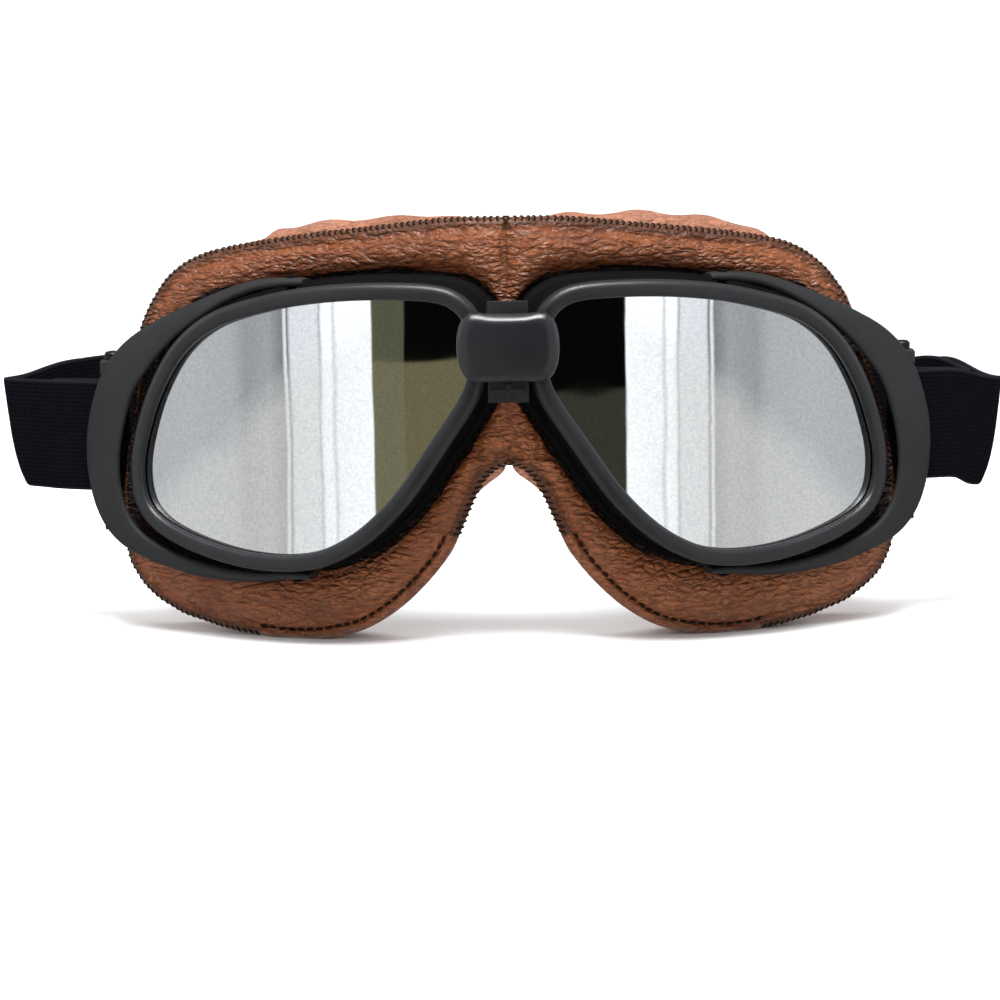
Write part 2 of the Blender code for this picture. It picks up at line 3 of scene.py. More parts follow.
import bmesh
import bpy
import numpy as np
from mathutils import Matrix, Vector, noise
from mathutils.kdtree import KDTree


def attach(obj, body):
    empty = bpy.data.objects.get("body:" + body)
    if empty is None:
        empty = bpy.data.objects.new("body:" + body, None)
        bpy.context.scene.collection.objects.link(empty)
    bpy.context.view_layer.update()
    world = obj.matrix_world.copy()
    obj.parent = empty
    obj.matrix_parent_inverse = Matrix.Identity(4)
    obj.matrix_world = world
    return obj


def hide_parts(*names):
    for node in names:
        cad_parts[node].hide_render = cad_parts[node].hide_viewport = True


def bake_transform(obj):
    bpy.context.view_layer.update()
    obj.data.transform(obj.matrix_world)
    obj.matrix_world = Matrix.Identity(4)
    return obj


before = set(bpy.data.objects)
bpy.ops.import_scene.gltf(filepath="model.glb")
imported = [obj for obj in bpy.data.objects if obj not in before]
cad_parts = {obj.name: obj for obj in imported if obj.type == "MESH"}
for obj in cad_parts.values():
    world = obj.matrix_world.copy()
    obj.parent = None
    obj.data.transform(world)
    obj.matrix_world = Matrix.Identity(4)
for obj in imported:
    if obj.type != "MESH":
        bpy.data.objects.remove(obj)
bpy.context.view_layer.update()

MM = 0.001
SIDES = {"left": -1, "right": 1}

# The CAD model's dimensions again, in millimetres. Each eyecup has its own plane, turned back by
# YAW: u runs outward along it, f stands forward of it, z is up.
YAW = math.radians(18)
LENS_PEAK, LENS_PEAK_U, LENS_RADIUS = 13.5, 36.0, 150.0
RIM_WIDTH, WALL, FLANGE, WALL_BACK = 3.7, 1.6, 1.2, -1.0
FLANGE_NEAREST_U, CLAMP_NEAREST_U = 1.8, 3.2
LIP, GAP, LENS_THICK, LENS_OVERLAP = 2.2, 0.3, 1.6, 1.6
LEATHER_BACK = -2.6
CENTRE = np.array((44.0, 47.0))
PIVOT_U, PIVOT_F = 47.0, 6.0
HINGE_X, HINGE_Y = 3.4, -4.6
COVER_Z, COVER_BACK, COVER_FRONT = 66.3, -8.9, -12.1
STRAP_LOW, STRAP_HIGH, STRAP_THICK = 31.5, 56.5, 1.4
STRAP_PIN_X, STRAP_PIN_Y, STRAP_PIN_R = 88.9, 33.6, 1.9
STRAP_PIN_LOW, STRAP_PIN_HIGH = 21.4, 63.0
FOLD_X, FOLD_Y = 112.8, 39.0
FOLD_SHIFT = {-1: 1.1, 1: -1.1}     # the two folds don't lie quite alike
JOIN_X, JOIN_Y = 80.0, 76.0
REAR_Y = 112.0
SLIDER_AT, SLIDER_THICK = 0.72, 1.8
SHIFT_Y = -(REAR_Y + COVER_FRONT) / 2
ARM_TOP_Z, ARM_BOTTOM_Z, ARM_THICK = 79.4, 15.4, 1.8
EAR_TOP, EAR_BOTTOM, EAR_HEIGHT = 58.4, 23.2, 2.6

LENS_OUTLINE = [(6.6, 70.5), (9.4, 74.2), (14.5, 75.7), (26, 76), (38, 75.3), (50, 73.4), (63, 69.6),
                (72, 63.4), (78.4, 54.5), (82.4, 45), (84, 37.5), (83, 31), (79.3, 27.1), (72, 24),
                (62, 21.5), (53, 20.5), (45, 20.7), (38, 22.4), (30, 27), (22, 34.8), (14.5, 45.4),
                (7.2, 56.6), (5.9, 63)]
MASK_OUTLINE = [(0, 93), (14, 92.7), (30, 91), (45, 89.4), (57, 87.8), (66, 86), (72.4, 83.3),
                (77.5, 79), (81.5, 73.5), (84.5, 66), (87.8, 52), (91.5, 35), (91.9, 22.5),
                (89.4, 13.5), (84, 7.8), (76, 3.8), (66, 1.2), (53, -0.4), (43, 0.2), (34, 2.6),
                (26, 7.6), (19.3, 13.9), (14.1, 20.6), (11.2, 26.8), (8.8, 32.1), (6.2, 36.7), (3.1, 39.2),
                (0, 40.0)]
ARM_INNER = [(43.4, 8.8, 79.4), (49, 8.8, 79.2), (56, 7.8, 77.6), (64, 6.8, 74.0), (74.5, 5.8, 67.2),
             (82, 5.0, 60), (86.8, 4.4, 53), (90.2, 3.8, 41), (89.8, 3.9, 31), (85.6, 4.6, 23.8),
             (77, 5.6, 19.2), (66, 6.6, 16.2), (56, 7.6, 15.2), (49, 8.6, 15.4), (43.4, 8.6, 15.4)]
ARM_OUTER = [(43.4, 3.2, 79.4), (49, 3.2, 79.4), (56.6, 3.8, 79.0), (65.6, 3.8, 76.4), (77.6, 3.6, 71.6),
             (88.4, 2.4, 65.6), (95.6, 1.0, 57), (99.6, 0.2, 43), (97.9, 0.4, 29), (91, 2.0, 20.3),
             (78, 3.2, 15.4), (66.4, 3.8, 13.6), (56, 4.0, 13.8), (49, 3.2, 15.2), (43.4, 3.2, 15.4)]

RING = 224                      # points round an eyecup
EDGE_POINTS = 560               # points along the mask's sewn edge
SEAM_FROM, SEAM_TO = 0.70, 0.915    # share of the edge that has the sewn strip, not the overlock


# ---------------------------------------------------------------- lines and surfaces

def place(side, u, f, z):
    """Points of one eyecup's plane, in the object's frame, in metres."""
    x = side * (u * math.cos(YAW) + f * math.sin(YAW))
    y = u * math.sin(YAW) - f * math.cos(YAW) + SHIFT_Y
    return np.stack(np.broadcast_arrays(x, y, z), -1) * MM


def point(x, y, z):
    return np.stack(np.broadcast_arrays(x, y + SHIFT_Y, z), -1) * MM


def rim_front(u):
    return LENS_PEAK - (u - LENS_PEAK_U) ** 2 / (2 * LENS_RADIUS)


def smooth_line(points, closed, steps=12):
    """A dense curve through the points."""
    p = np.array(points, float)
    count = len(p)
    t = (np.arange(steps) / steps)[:, None]
    dense = []
    for i in range(count if closed else count - 1):
        if closed:
            a, b, c, d = (p[(i + k) % count] for k in (-1, 0, 1, 2))
        else:
            a, b, c, d = p[max(i - 1, 0)], p[i], p[i + 1], p[min(i + 2, count - 1)]
        dense.append(0.5 * (2 * b + (c - a) * t + (2 * a - 5 * b + 4 * c - d) * t ** 2
                            + (3 * b - a - 3 * c + d) * t ** 3))
    if not closed:
        dense.append(p[-1:])
    return np.vstack(dense)


def even_points(line, count, closed=False):
    """The line again, as count points at equal distances along it."""
    if closed:
        line = np.vstack([line, line[:1]])
    steps = np.linalg.norm(np.diff(line, axis=0), axis=1)
    along = np.concatenate([[0.0], np.cumsum(steps)])
    want = np.linspace(0, along[-1], count + 1 if closed else count)[:count]
    return np.stack([np.interp(want, along, line[:, k]) for k in range(line.shape[1])], 1)


def normals_2d(ring):
    along = np.roll(ring, -1, 0) - np.roll(ring, 1, 0)
    along /= np.linalg.norm(along, axis=1)[:, None]
    return np.stack([-along[:, 1], along[:, 0]], 1)


LENS_RING = even_points(smooth_line(LENS_OUTLINE, True), RING, True)
LENS_NORMALS = normals_2d(LENS_RING)


def offset_ring(distance, nearest_u=0.0):
    """The lens outline moved outward, and kept nearest_u or more from the centre line."""
    moved = LENS_RING + LENS_NORMALS * distance
    return np.stack([np.maximum(moved[:, 0], nearest_u), moved[:, 1]], 1)


def ray_hits(ring, targets):
    """Where the rays from CENTRE through each target leave a closed ring."""
    a, b = ring, np.roll(ring, -1, 0)
    edge = b - a
    hits = []
    for target in targets:
        ray = (target - CENTRE) / np.linalg.norm(target - CENTRE)
        cross = ray[0] * edge[:, 1] - ray[1] * edge[:, 0]
        to_a = a - CENTRE
        along = (to_a[:, 0] * edge[:, 1] - to_a[:, 1] * edge[:, 0]) / cross
        part = (to_a[:, 0] * ray[1] - to_a[:, 1] * ray[0]) / cross
        good = (along > 0) & (part >= -1e-6) & (part <= 1 + 1e-6)
        hits.append(CENTRE + ray * along[good].max())
    return np.array(hits)


def smoothstep(low, high, value):
    t = np.clip((value - low) / (high - low), 0, 1)
    return t * t * (3 - 2 * t)


def profile(stations, values, t):
    """A smooth curve through (station, value) pairs, read at t."""
    line = smooth_line(list(zip(stations, values)), False, 10)
    return np.interp(t, line[:, 0], line[:, 1])


def wobble(where, scale, seed=0.0):
    """Smooth noise from -1 to 1 at each point; scale is in bumps per metre."""
    return np.array([noise.noise(Vector(p) * scale + Vector((seed, seed * 1.7, -seed)))
                     for p in np.asarray(where).reshape(-1, 3)]).reshape(np.asarray(where).shape[:-1])


class Mesh:
    """Collects the vertices, faces and UVs of one piece."""

    def __init__(self):
        self.points, self.faces, self.slots, self.uvs = [], [], [], {}
        self.count = 0

    def add(self, points):
        points = np.asarray(points, float).reshape(-1, 3)
        first = self.count
        self.points.append(points)
        self.count += len(points)
        return first

    def grid(self, rows, close_rows=False, close_columns=False, slot=0, uv=None):
        """Quads between rows; rows is (row, column, 3)."""
        rows = np.asarray(rows)
        r, c = rows.shape[:2]
        first = self.add(rows)
        for i in range(r if close_rows else r - 1):
            for j in range(c if close_columns else c - 1):
                k, m = (i + 1) % r, (j + 1) % c
                face = (first + i * c + j, first + i * c + m, first + k * c + m, first + k * c + j)
                self.faces.append(face)
                self.slots.append(slot[i] if isinstance(slot, (list, np.ndarray)) else slot)
                if uv is not None:
                    i2, j2 = i + 1, j + 1
                    self.uvs[len(self.faces) - 1] = (uv(i, j), uv(i, j2), uv(i2, j2), uv(i2, j))
        return first

    def cap(self, first, count, flip=False, slot=0):
        loop = list(range(first, first + count))
        self.faces.append(tuple(reversed(loop)) if flip else tuple(loop))
        self.slots.append(slot)

    def closed(self, rows, slot=0, last_slot=0, uv=None):
        """Rings joined one to the next, with a cap on the first and on the last."""
        rows = np.asarray(rows)
        count = rows.shape[1]
        first = self.grid(rows, close_columns=True, slot=slot, uv=uv)
        self.cap(first, count, flip=True)
        self.cap(first + (len(rows) - 1) * count, count, slot=last_slot)

    def tube(self, line, radius, sides=6):
        """A closed round thread along a line."""
        line = np.asarray(line, float)
        along = np.gradient(line, axis=0)
        along /= np.linalg.norm(along, axis=1)[:, None] + 1e-12
        guide = np.array((0.31, 0.29, 0.9))
        across = np.cross(along, guide)
        across /= np.linalg.norm(across, axis=1)[:, None] + 1e-12
        up = np.cross(across, along)
        angles = np.arange(sides) * 2 * math.pi / sides
        size = np.full(len(line), radius)
        size[[0, -1]] *= 0.45
        rows = (line[:, None] + across[:, None] * np.cos(angles)[None, :, None] * size[:, None, None]
                + up[:, None] * np.sin(angles)[None, :, None] * size[:, None, None])
        self.closed(rows)

    def build(self, name, *materials, sharp=35):
        mesh = bpy.data.meshes.new(name)
        mesh.from_pydata(np.vstack(self.points).tolist(), [], self.faces)
        for made in materials:
            mesh.materials.append(made)
        mesh.polygons.foreach_set("material_index", self.slots)
        if self.uvs:
            layer = mesh.uv_layers.new(name="UVMap")
            for polygon in mesh.polygons:
                if polygon.index in self.uvs:
                    for loop, uv in zip(polygon.loop_indices, self.uvs[polygon.index]):
                        layer.data[loop].uv = uv
        obj = bpy.data.objects.new(name, mesh)
        bpy.context.scene.collection.objects.link(obj)
        tidy_mesh(obj, sharp)
        return obj


def tidy_mesh(obj, sharp=35):
    bm = bmesh.new()
    bm.from_mesh(obj.data)
    bmesh.ops.recalc_face_normals(bm, faces=bm.faces)
    bm.to_mesh(obj.data)
    bm.free()
    obj.data.shade_smooth()
    obj.data.set_sharp_from_angle(angle=math.radians(sharp))


def apply_modifiers(obj):
    bpy.context.view_layer.update()
    evaluated = obj.evaluated_get(bpy.context.evaluated_depsgraph_get())
    made = bpy.data.meshes.new_from_object(evaluated)
    obj.modifiers.clear()
    obj.data = made


def combine(obj, others, operation):
    """Joins other solids to obj, or cuts them out of it, and removes them."""
    for other in others:
        modifier = obj.modifiers.new("combine", "BOOLEAN")
        modifier.operation = operation
        modifier.solver = "EXACT"
        modifier.object = other
    apply_modifiers(obj)
    for other in others:
        bpy.data.objects.remove(other, do_unlink=True)
    tidy_mesh(obj)


def bevelled_copy(node, name, width, *materials):
    """A CAD node's mesh in a new object, with its edges rounded."""
    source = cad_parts[node]
    obj = bpy.data.objects.new(name, source.data.copy())
    bpy.context.scene.collection.objects.link(obj)
    obj.data.transform(source.matrix_world)
    bm = bmesh.new()
    bm.from_mesh(obj.data)
    bmesh.ops.remove_doubles(bm, verts=bm.verts, dist=1e-6)
    bmesh.ops.dissolve_limit(bm, angle_limit=math.radians(1), verts=bm.verts, edges=bm.edges)
    bm.to_mesh(obj.data)
    bm.free()
    obj.data.materials.clear()
    for made in materials:
        obj.data.materials.append(made)
    bevel = obj.modifiers.new("bevel", "BEVEL")
    bevel.width = width * MM
    bevel.segments = 3
    bevel.limit_method = "ANGLE"
    bevel.angle_limit = math.radians(35)
    apply_modifiers(obj)
    tidy_mesh(obj, 50)
    return obj


def turned(name, x, y, levels, made, sides=32):
    """An upright turned piece; levels are (z, radius)."""
    angles = np.arange(sides) * 2 * math.pi / sides
    rows = [point(x + r * np.cos(angles), y + r * np.sin(angles), z) for z, r in levels]
    mesh = Mesh()
    mesh.closed(rows)
    return mesh.build(name, made)


# ---------------------------------------------------------------- materials

class Look:
    """A Principled material and short ways to add nodes to it."""

    def __init__(self, name, **sockets):
        self.material = bpy.data.materials.new(name)
        self.material.use_nodes = True
        self.tree = self.material.node_tree
        self.shader = self.tree.nodes["Principled BSDF"]
        for key, value in sockets.items():
            self.put(self.shader.inputs[key.replace("_", " ")], value)

    def put(self, socket, value):
        if isinstance(value, bpy.types.NodeSocket):
            self.tree.links.new(value, socket)
        elif isinstance(value, (tuple, list)) and len(value) == 3 and socket.type == "RGBA":
            socket.default_value = (*value, 1.0)
        else:
            socket.default_value = value

    def node(self, kind, inputs=None, output=0, **settings):
        made = self.tree.nodes.new("ShaderNode" + kind)
        for key, value in settings.items():
            setattr(made, key, value)
        for key, value in (inputs or {}).items():
            self.put(made.inputs[key], value)
        return made.outputs[output]

    def place(self, scale=(1, 1, 1), uv=False):
        where = self.node("TexCoord", output="UV" if uv else "Object")
        return self.node("Mapping", {"Vector": where, "Scale": scale})

    def noise(self, where, scale, detail=2.0, rough=0.5, output=0):
        return self.node("TexNoise", {"Vector": where, "Scale": scale, "Detail": detail,
                                      "Roughness": rough}, output)

    def math(self, operation, a, b=0.0):
        return self.node("Math", {0: a, 1: b}, operation=operation)

    def span(self, value, from_low, from_high, to_low, to_high):
        return self.node("MapRange", {"Value": value, "From Min": from_low, "From Max": from_high,
                                      "To Min": to_low, "To Max": to_high})

    def mix(self, part, a, b):
        made = self.tree.nodes.new("ShaderNodeMix")
        made.data_type = "RGBA"
        self.put(made.inputs[0], part)
        self.put(made.inputs[6], a)
        self.put(made.inputs[7], b)
        return made.outputs[2]

    def ramp(self, value, *stops):
        made = self.tree.nodes.new("ShaderNodeValToRGB")
        self.put(made.inputs[0], value)
        elements = made.color_ramp.elements
        while len(elements) < len(stops):
            elements.new(0.5)
        for element, (at, color) in zip(elements, stops):
            element.position = at
            element.color = (*color, 1.0)
        return made.outputs[0]

    def bump(self, height, distance, strength=1.0, below=None):
        inputs = {"Height": height, "Distance": distance, "Strength": strength}
        if below is not None:
            inputs["Normal"] = below
        return self.node("Bump", inputs)

    def finish(self, **sockets):
        for key, value in sockets.items():
            self.put(self.shader.inputs[key.replace("_", " ")], value)
        return self.material


def leather(name, dark, mid, light, crackle, roughness):
    """Grained leather: crackled creases, fine pores and broad tone changes, with a painted highlight paler
    on the crests and painted shade darker in the creases.
    """
    look = Look(name, Specular_IOR_Level=0.34)
    where = look.place()
    warp = look.noise(where, 260.0, 3.0, 0.55, output=1)
    warped = look.node("VectorMath", {0: warp, 1: (0.0018, 0.0018, 0.0018)}, operation="MULTIPLY")
    moved = look.node("VectorMath", {0: where, 1: warped}, operation="ADD")
    stretched = look.node("Mapping", {"Vector": moved, "Scale": (0.55, 0.55, 1.2)})
    cells = look.node("TexVoronoi", {"Vector": stretched, "Scale": 620.0}, feature="DISTANCE_TO_EDGE")
    small = look.node("TexVoronoi", {"Vector": stretched, "Scale": 1500.0}, feature="DISTANCE_TO_EDGE")
    crease = look.span(cells, 0.0, 0.3, 0.0, 1.0)
    ridge = look.noise(look.node("Mapping", {"Vector": moved, "Scale": (0.5, 0.5, 1.5)}), 360.0, 1.0, 0.4)
    ridge = look.math("ABSOLUTE", look.math("SUBTRACT", ridge, 0.5))
    wrinkle = look.span(ridge, 0.0, 0.16, 0.0, 1.0)
    fine = look.span(small, 0.0, 0.2, 0.0, 1.0)
    pores = look.noise(where, 3200.0, 2.0, 0.6)
    soft = look.noise(where, 170.0, 3.0, 0.5)
    broad = look.noise(where, 38.0, 2.0, 0.5)
    strength = look.span(broad, 0.35, 0.65, 0.45, 1.0)
    creased = look.math("MULTIPLY", crease, strength)
    height = look.math("ADD", look.math("MULTIPLY", creased, 0.75 * crackle),
                       look.math("MULTIPLY", fine, 0.14))
    height = look.math("ADD", height, look.math("MULTIPLY", pores, 0.07))
    height = look.math("ADD", height, look.math("MULTIPLY", wrinkle, 0.65 * crackle))
    lumps = look.bump(soft, 0.0016, 0.6)
    normal = look.bump(height, 0.00075, 1.0, lumps)
    tone = look.ramp(broad, (0.3, dark), (0.5, mid), (0.72, light))
    # painted highlight: the tone is paler on the crests of the soft lumps
    tone = look.mix(look.span(soft, 0.35, 0.7, 0.0, 0.35), tone, light)
    # painted shade: the tone is darker in the creases and wrinkles of the grain
    painted_crease_shade = look.math("MULTIPLY", look.span(crease, 0.0, 0.45, 0.55, 0.0), strength)
    tone = look.mix(painted_crease_shade, tone, tuple(c * 0.42 for c in dark))
    tone = look.mix(look.span(wrinkle, 0.0, 0.4, 0.45 * crackle, 0.0), tone, tuple(c * 0.35 for c in dark))
    gloss = look.span(height, 0.0, 1.0, roughness + 0.16, roughness)
    return look.finish(Base_Color=tone, Roughness=gloss, Normal=normal, Coat_Weight=0.10,
                       Coat_Roughness=0.22)


def plastic(name, color, roughness, grain=1.0, level=0.5):
    """Moulded plastic: fine spark grain, faint flow marks and slightly uneven gloss."""
    look = Look(name, Specular_IOR_Level=level)
    where = look.place()
    spark = look.noise(where, 5200.0, 2.0, 0.6)
    flow = look.noise(where, 60.0, 3.0, 0.55)
    tone = look.mix(look.span(flow, 0.35, 0.7, 0.0, 1.0), color, tuple(c * 1.28 for c in color))
    gloss = look.span(flow, 0.3, 0.7, roughness - 0.05, roughness + 0.06)
    normal = look.bump(look.noise(where, 240.0, 2.0), 0.00012, 0.3)
    normal = look.bump(spark, 0.00006 * grain, 0.6, normal)
    return look.finish(Base_Color=tone, Roughness=gloss, Normal=normal)


def elastic():
    """Woven elastic: cords along the band, weft across it, a velvety face and paler selvages."""
    look = Look("elastic_weave", Specular_IOR_Level=0.05, Sheen_Weight=0.01, Sheen_Roughness=0.45)
    look.shader.inputs["Sheen Tint"].default_value = (0.5, 0.55, 0.75, 1.0)
    uv = look.place(uv=True)
    cords = look.node("TexWave", {"Vector": uv, "Scale": 330.0, "Distortion": 0.6, "Detail": 1.0},
                      bands_direction="Y")
    weft = look.node("TexWave", {"Vector": uv, "Scale": 460.0, "Distortion": 0.8, "Detail": 1.0},
                     bands_direction="X")
    weave = look.math("MULTIPLY", cords, weft)
    fuzz = look.noise(look.place(), 4200.0, 2.0, 0.7)
    height = look.math("ADD", look.math("MULTIPLY", weave, 0.8), look.math("MULTIPLY", fuzz, 0.5))
    split = look.node("SeparateXYZ", {0: uv}, output=1)
    across = look.math("ABSOLUTE", look.math("SUBTRACT", split, 0.0125))
    edge = look.span(across, 0.0116, 0.0123, 0.0, 1.0)
    tone = look.mix(weave, (0.0008, 0.0009, 0.0018), (0.0032, 0.0035, 0.0066))
    tone = look.mix(edge, tone, (0.008, 0.0085, 0.011))
    return look.finish(Base_Color=tone, Roughness=look.span(fuzz, 0.3, 0.7, 0.8, 0.95),
                       Normal=look.bump(height, 0.00022, 0.7))


def thread():
    look = Look("stitch_thread", Roughness=0.8, Specular_IOR_Level=0.1)
    where = look.place()
    twist = look.node("TexWave", {"Vector": where, "Scale": 900.0, "Distortion": 2.0},
                      bands_direction="DIAGONAL")
    tone = look.mix(look.noise(where, 900.0), (0.0035, 0.0028, 0.002), (0.014, 0.008, 0.005))
    return look.finish(Base_Color=tone, Normal=look.bump(twist, 0.00008, 0.6))


def mirror():
    """Silver mirror coating on a moulded lens, with a trace of unevenness."""
    look = Look("mirror_coating", Metallic=1.0)
    where = look.place()
    haze = look.noise(where, 35.0, 3.0, 0.55)
    speckle = look.noise(where, 1500.0, 2.0, 0.7)
    tone = look.mix(look.span(speckle, 0.32, 0.68, 0.0, 1.0), (0.74, 0.77, 0.80), (0.94, 0.95, 0.95))
    wave = look.bump(look.noise(where, 55.0, 1.0), 0.00018, 0.25)
    return look.finish(Base_Color=tone, Roughness=look.span(haze, 0.3, 0.7, 0.012, 0.03), Normal=wave)


def smoke():
    look = Look("lens_back", Coat_Weight=0.4, Coat_Roughness=0.05, Specular_IOR_Level=0.6)
    haze = look.noise(look.place(), 30.0, 3.0)
    tone = look.mix(haze, (0.022, 0.020, 0.018), (0.045, 0.042, 0.038))
    return look.finish(Base_Color=tone, Roughness=look.span(haze, 0.3, 0.7, 0.08, 0.14))


def steel():
    look = Look("turned_steel", Metallic=1.0)
    where = look.place((1, 1, 14))
    rings = look.noise(where, 300.0, 2.0)
    tone = look.mix(rings, (0.018, 0.018, 0.02), (0.05, 0.05, 0.053))
    return look.finish(Base_Color=tone, Roughness=look.span(rings, 0.3, 0.7, 0.28, 0.45),
                       Normal=look.bump(rings, 0.00004, 0.5))


FRONT_LEATHER = leather("leather_front", (0.112, 0.030, 0.0092), (0.172, 0.049, 0.0148),
                        (0.235, 0.077, 0.025), 1.0, 0.34)
# painted shade: a darker copy of the front leather, for the shade in the stitched band under the overlock
SEWN_BAND_SHADE_LEATHER = leather("leather_sewn_band_shade", (0.054, 0.015, 0.005), (0.085, 0.025, 0.008),
                       (0.120, 0.039, 0.012), 1.0, 0.42)
# painted shade: a near-black copy of the leather, for the shade down beside the flange and at the temple
SHADED_LEATHER = leather("leather_shaded", (0.008, 0.003, 0.0018), (0.013, 0.005, 0.003),
                         (0.020, 0.008, 0.0045), 1.0, 0.6)
REAR_LEATHER = leather("leather_rear", (0.20, 0.072, 0.038), (0.27, 0.108, 0.060),
                       (0.34, 0.15, 0.088), 0.6, 0.46)
FRAME_BLACK = plastic("frame_black", (0.008, 0.0082, 0.0095), 0.38, 1.0, 0.40)
ARM_CHARCOAL = plastic("arm_charcoal", (0.0125, 0.013, 0.0135), 0.60, 1.3, 0.17)
# painted shade on the eyecup's deep wall and flange; also the pivot pins' own black
WALL_SHADE_AND_PIN_BLACK = plastic("wall_shade_and_pin_black", (0.0012, 0.0012, 0.0015), 0.75, 0.6, 0.08)
COVER_BLACK = plastic("cover_black", (0.007, 0.007, 0.009), 0.34, 0.7)
RING_PLASTIC = plastic("ring_plastic", (0.022, 0.022, 0.024), 0.55)
SLIDER_PLASTIC = plastic("slider_plastic", (0.012, 0.012, 0.014), 0.38)
ELASTIC = elastic()
THREAD = thread()
MIRROR = mirror()
SMOKE = smoke()
STEEL = steel()


# ---------------------------------------------------------------- hard parts

def shown(obj, body, slot, *nodes):
    """Rides a finished piece on its body and puts it in its nodes' place."""
    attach(obj, body)
    if nodes:
        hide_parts(*nodes)


def local(where, side):
    """World metres to the eyecup's (u, f, z) in millimetres."""
    x, y, z = np.asarray(where).T / MM
    x, y = x * side, y - SHIFT_Y
    return np.stack([x * math.cos(YAW) + y * math.sin(YAW), x * math.sin(YAW) - y * math.cos(YAW), z], 1)


def eyecup_frame(name, side):
    """Rounded rim, deep wall and rear flange in one, with vent slots towards the nose."""
    rim = [(0.0, -LIP), (0.0, -1.2), (0.08, -0.8), (0.3, -0.45), (0.65, -0.2), (1.1, -0.06),
           (1.7, 0.0), (2.3, -0.04), (2.8, -0.18), (3.2, -0.45), (3.48, -0.85), (3.64, -1.35),
           (RIM_WIDTH, -2.0)]
    base = [(RIM_WIDTH, 1.7), (3.82, 1.0), (4.15, 0.62), (4.6, 0.5), (4.82, 0.35), (4.9, 0.05),
            (4.9, -0.8), (4.75, WALL_BACK), (2.3, WALL_BACK), (RIM_WIDTH - WALL, WALL_BACK + 0.2)]
    rows = []
    for o, f in rim:
        p = offset_ring(o)
        rows.append(place(side, p[:, 0], rim_front(p[:, 0]) + f, p[:, 1]))
    wall = offset_ring(RIM_WIDTH)
    top, low = rim_front(wall[:, 0]) - 2.0, 1.7
    for part in (0.25, 0.5, 0.75):
        rows.append(place(side, wall[:, 0], top + (low - top) * part, wall[:, 1]))
    for o, f in base:
        p = offset_ring(o, FLANGE_NEAREST_U)
        rows.append(place(side, p[:, 0], f, p[:, 1]))
    p = offset_ring(RIM_WIDTH - WALL)
    rows.append(place(side, p[:, 0], rim_front(p[:, 0]) - LIP, p[:, 1]))
    mesh = Mesh()
    mesh.grid(rows, close_rows=True, close_columns=True)
    obj = mesh.build("eyecup_shell_" + name, FRAME_BLACK)

    cutters = [slot_cutter(side, at) for at in (0.69, 0.745, 0.80, 0.855)]
    hinge_x = side * HINGE_X
    for low_z, high_z in ((61.0, 65.5), (70.0, 74.6)):
        cutters.append(turned("room", hinge_x, HINGE_Y, [(low_z, 1.75), (high_z, 1.75)], FRAME_BLACK))
    combine(obj, cutters, "DIFFERENCE")
    knuckle = turned("knuckle", hinge_x, HINGE_Y,
                     [(65.9, 1.2), (66.1, 1.4), (69.4, 1.4), (69.6, 1.2)], FRAME_BLACK)
    combine(obj, [knuckle], "UNION")
    round_edges(obj, 0.12)
    # painted shade: the deep wall and flange lie in the rim's shade and get a near-black material
    obj.data.materials.append(WALL_SHADE_AND_PIN_BLACK)
    for polygon in obj.data.polygons:
        corner = local(np.array([polygon.center]), side)[0]
        if corner[1] < rim_front(corner[0]) - 1.9:
            polygon.material_index = len(obj.data.materials) - 1
    return obj


def slot_cutter(side, at):
    """A round-ended slot through the wall, long along the outline."""
    index = int(at * RING)
    middle, out = LENS_RING[index], LENS_NORMALS[index]
    along = np.array((-out[1], out[0]))
    half, radius, centre_f = 3.7, 1.15, 3.6
    outline = []
    for k in range(16):
        angle = 2 * math.pi * k / 16
        outline.append((math.copysign(half - radius, math.cos(angle)) + radius * math.cos(angle),
                        centre_f + radius * math.sin(angle)))
    rows = []
    for depth in (1.3, 6.5):
        flat = np.array([middle + out * depth + along * a for a, _ in outline])
        rows.append(place(side, flat[:, 0], np.array([f for _, f in outline]), flat[:, 1]))
    mesh = Mesh()
    mesh.closed(rows)
    return mesh.build("slot", FRAME_BLACK)


def lens(name, side):
    """Curved lens, mirrored in front and smoke-dark behind."""
    edge = offset_ring(LENS_OVERLAP)
    scales = np.linspace(0.02, 1.0, 20)
    front, back = [], []
    for scale in scales:
        q = CENTRE + (edge - CENTRE) * scale
        surface = rim_front(q[:, 0])
        front.append(place(side, q[:, 0], surface - LIP - GAP, q[:, 1]))
        back.append(place(side, q[:, 0], surface - LIP - GAP - LENS_THICK, q[:, 1]))
    rows = front + back[::-1]
    slots = [0] * (len(scales) - 1) + [1] * len(scales)
    mesh = Mesh()
    mesh.closed(rows, slots, 1)
    return mesh.build("mirror_lens_" + name, MIRROR, SMOKE)


def ring_piece(name, side, section, follow_rim, made, nearest_u=0.0):
    rows = []
    for o, f in section:
        p = offset_ring(o, nearest_u)
        front = rim_front(p[:, 0]) if follow_rim else 0.0
        rows.append(place(side, p[:, 0], front + f, p[:, 1]))
    mesh = Mesh()
    mesh.grid(rows, close_rows=True, close_columns=True)
    return mesh.build(name, made)


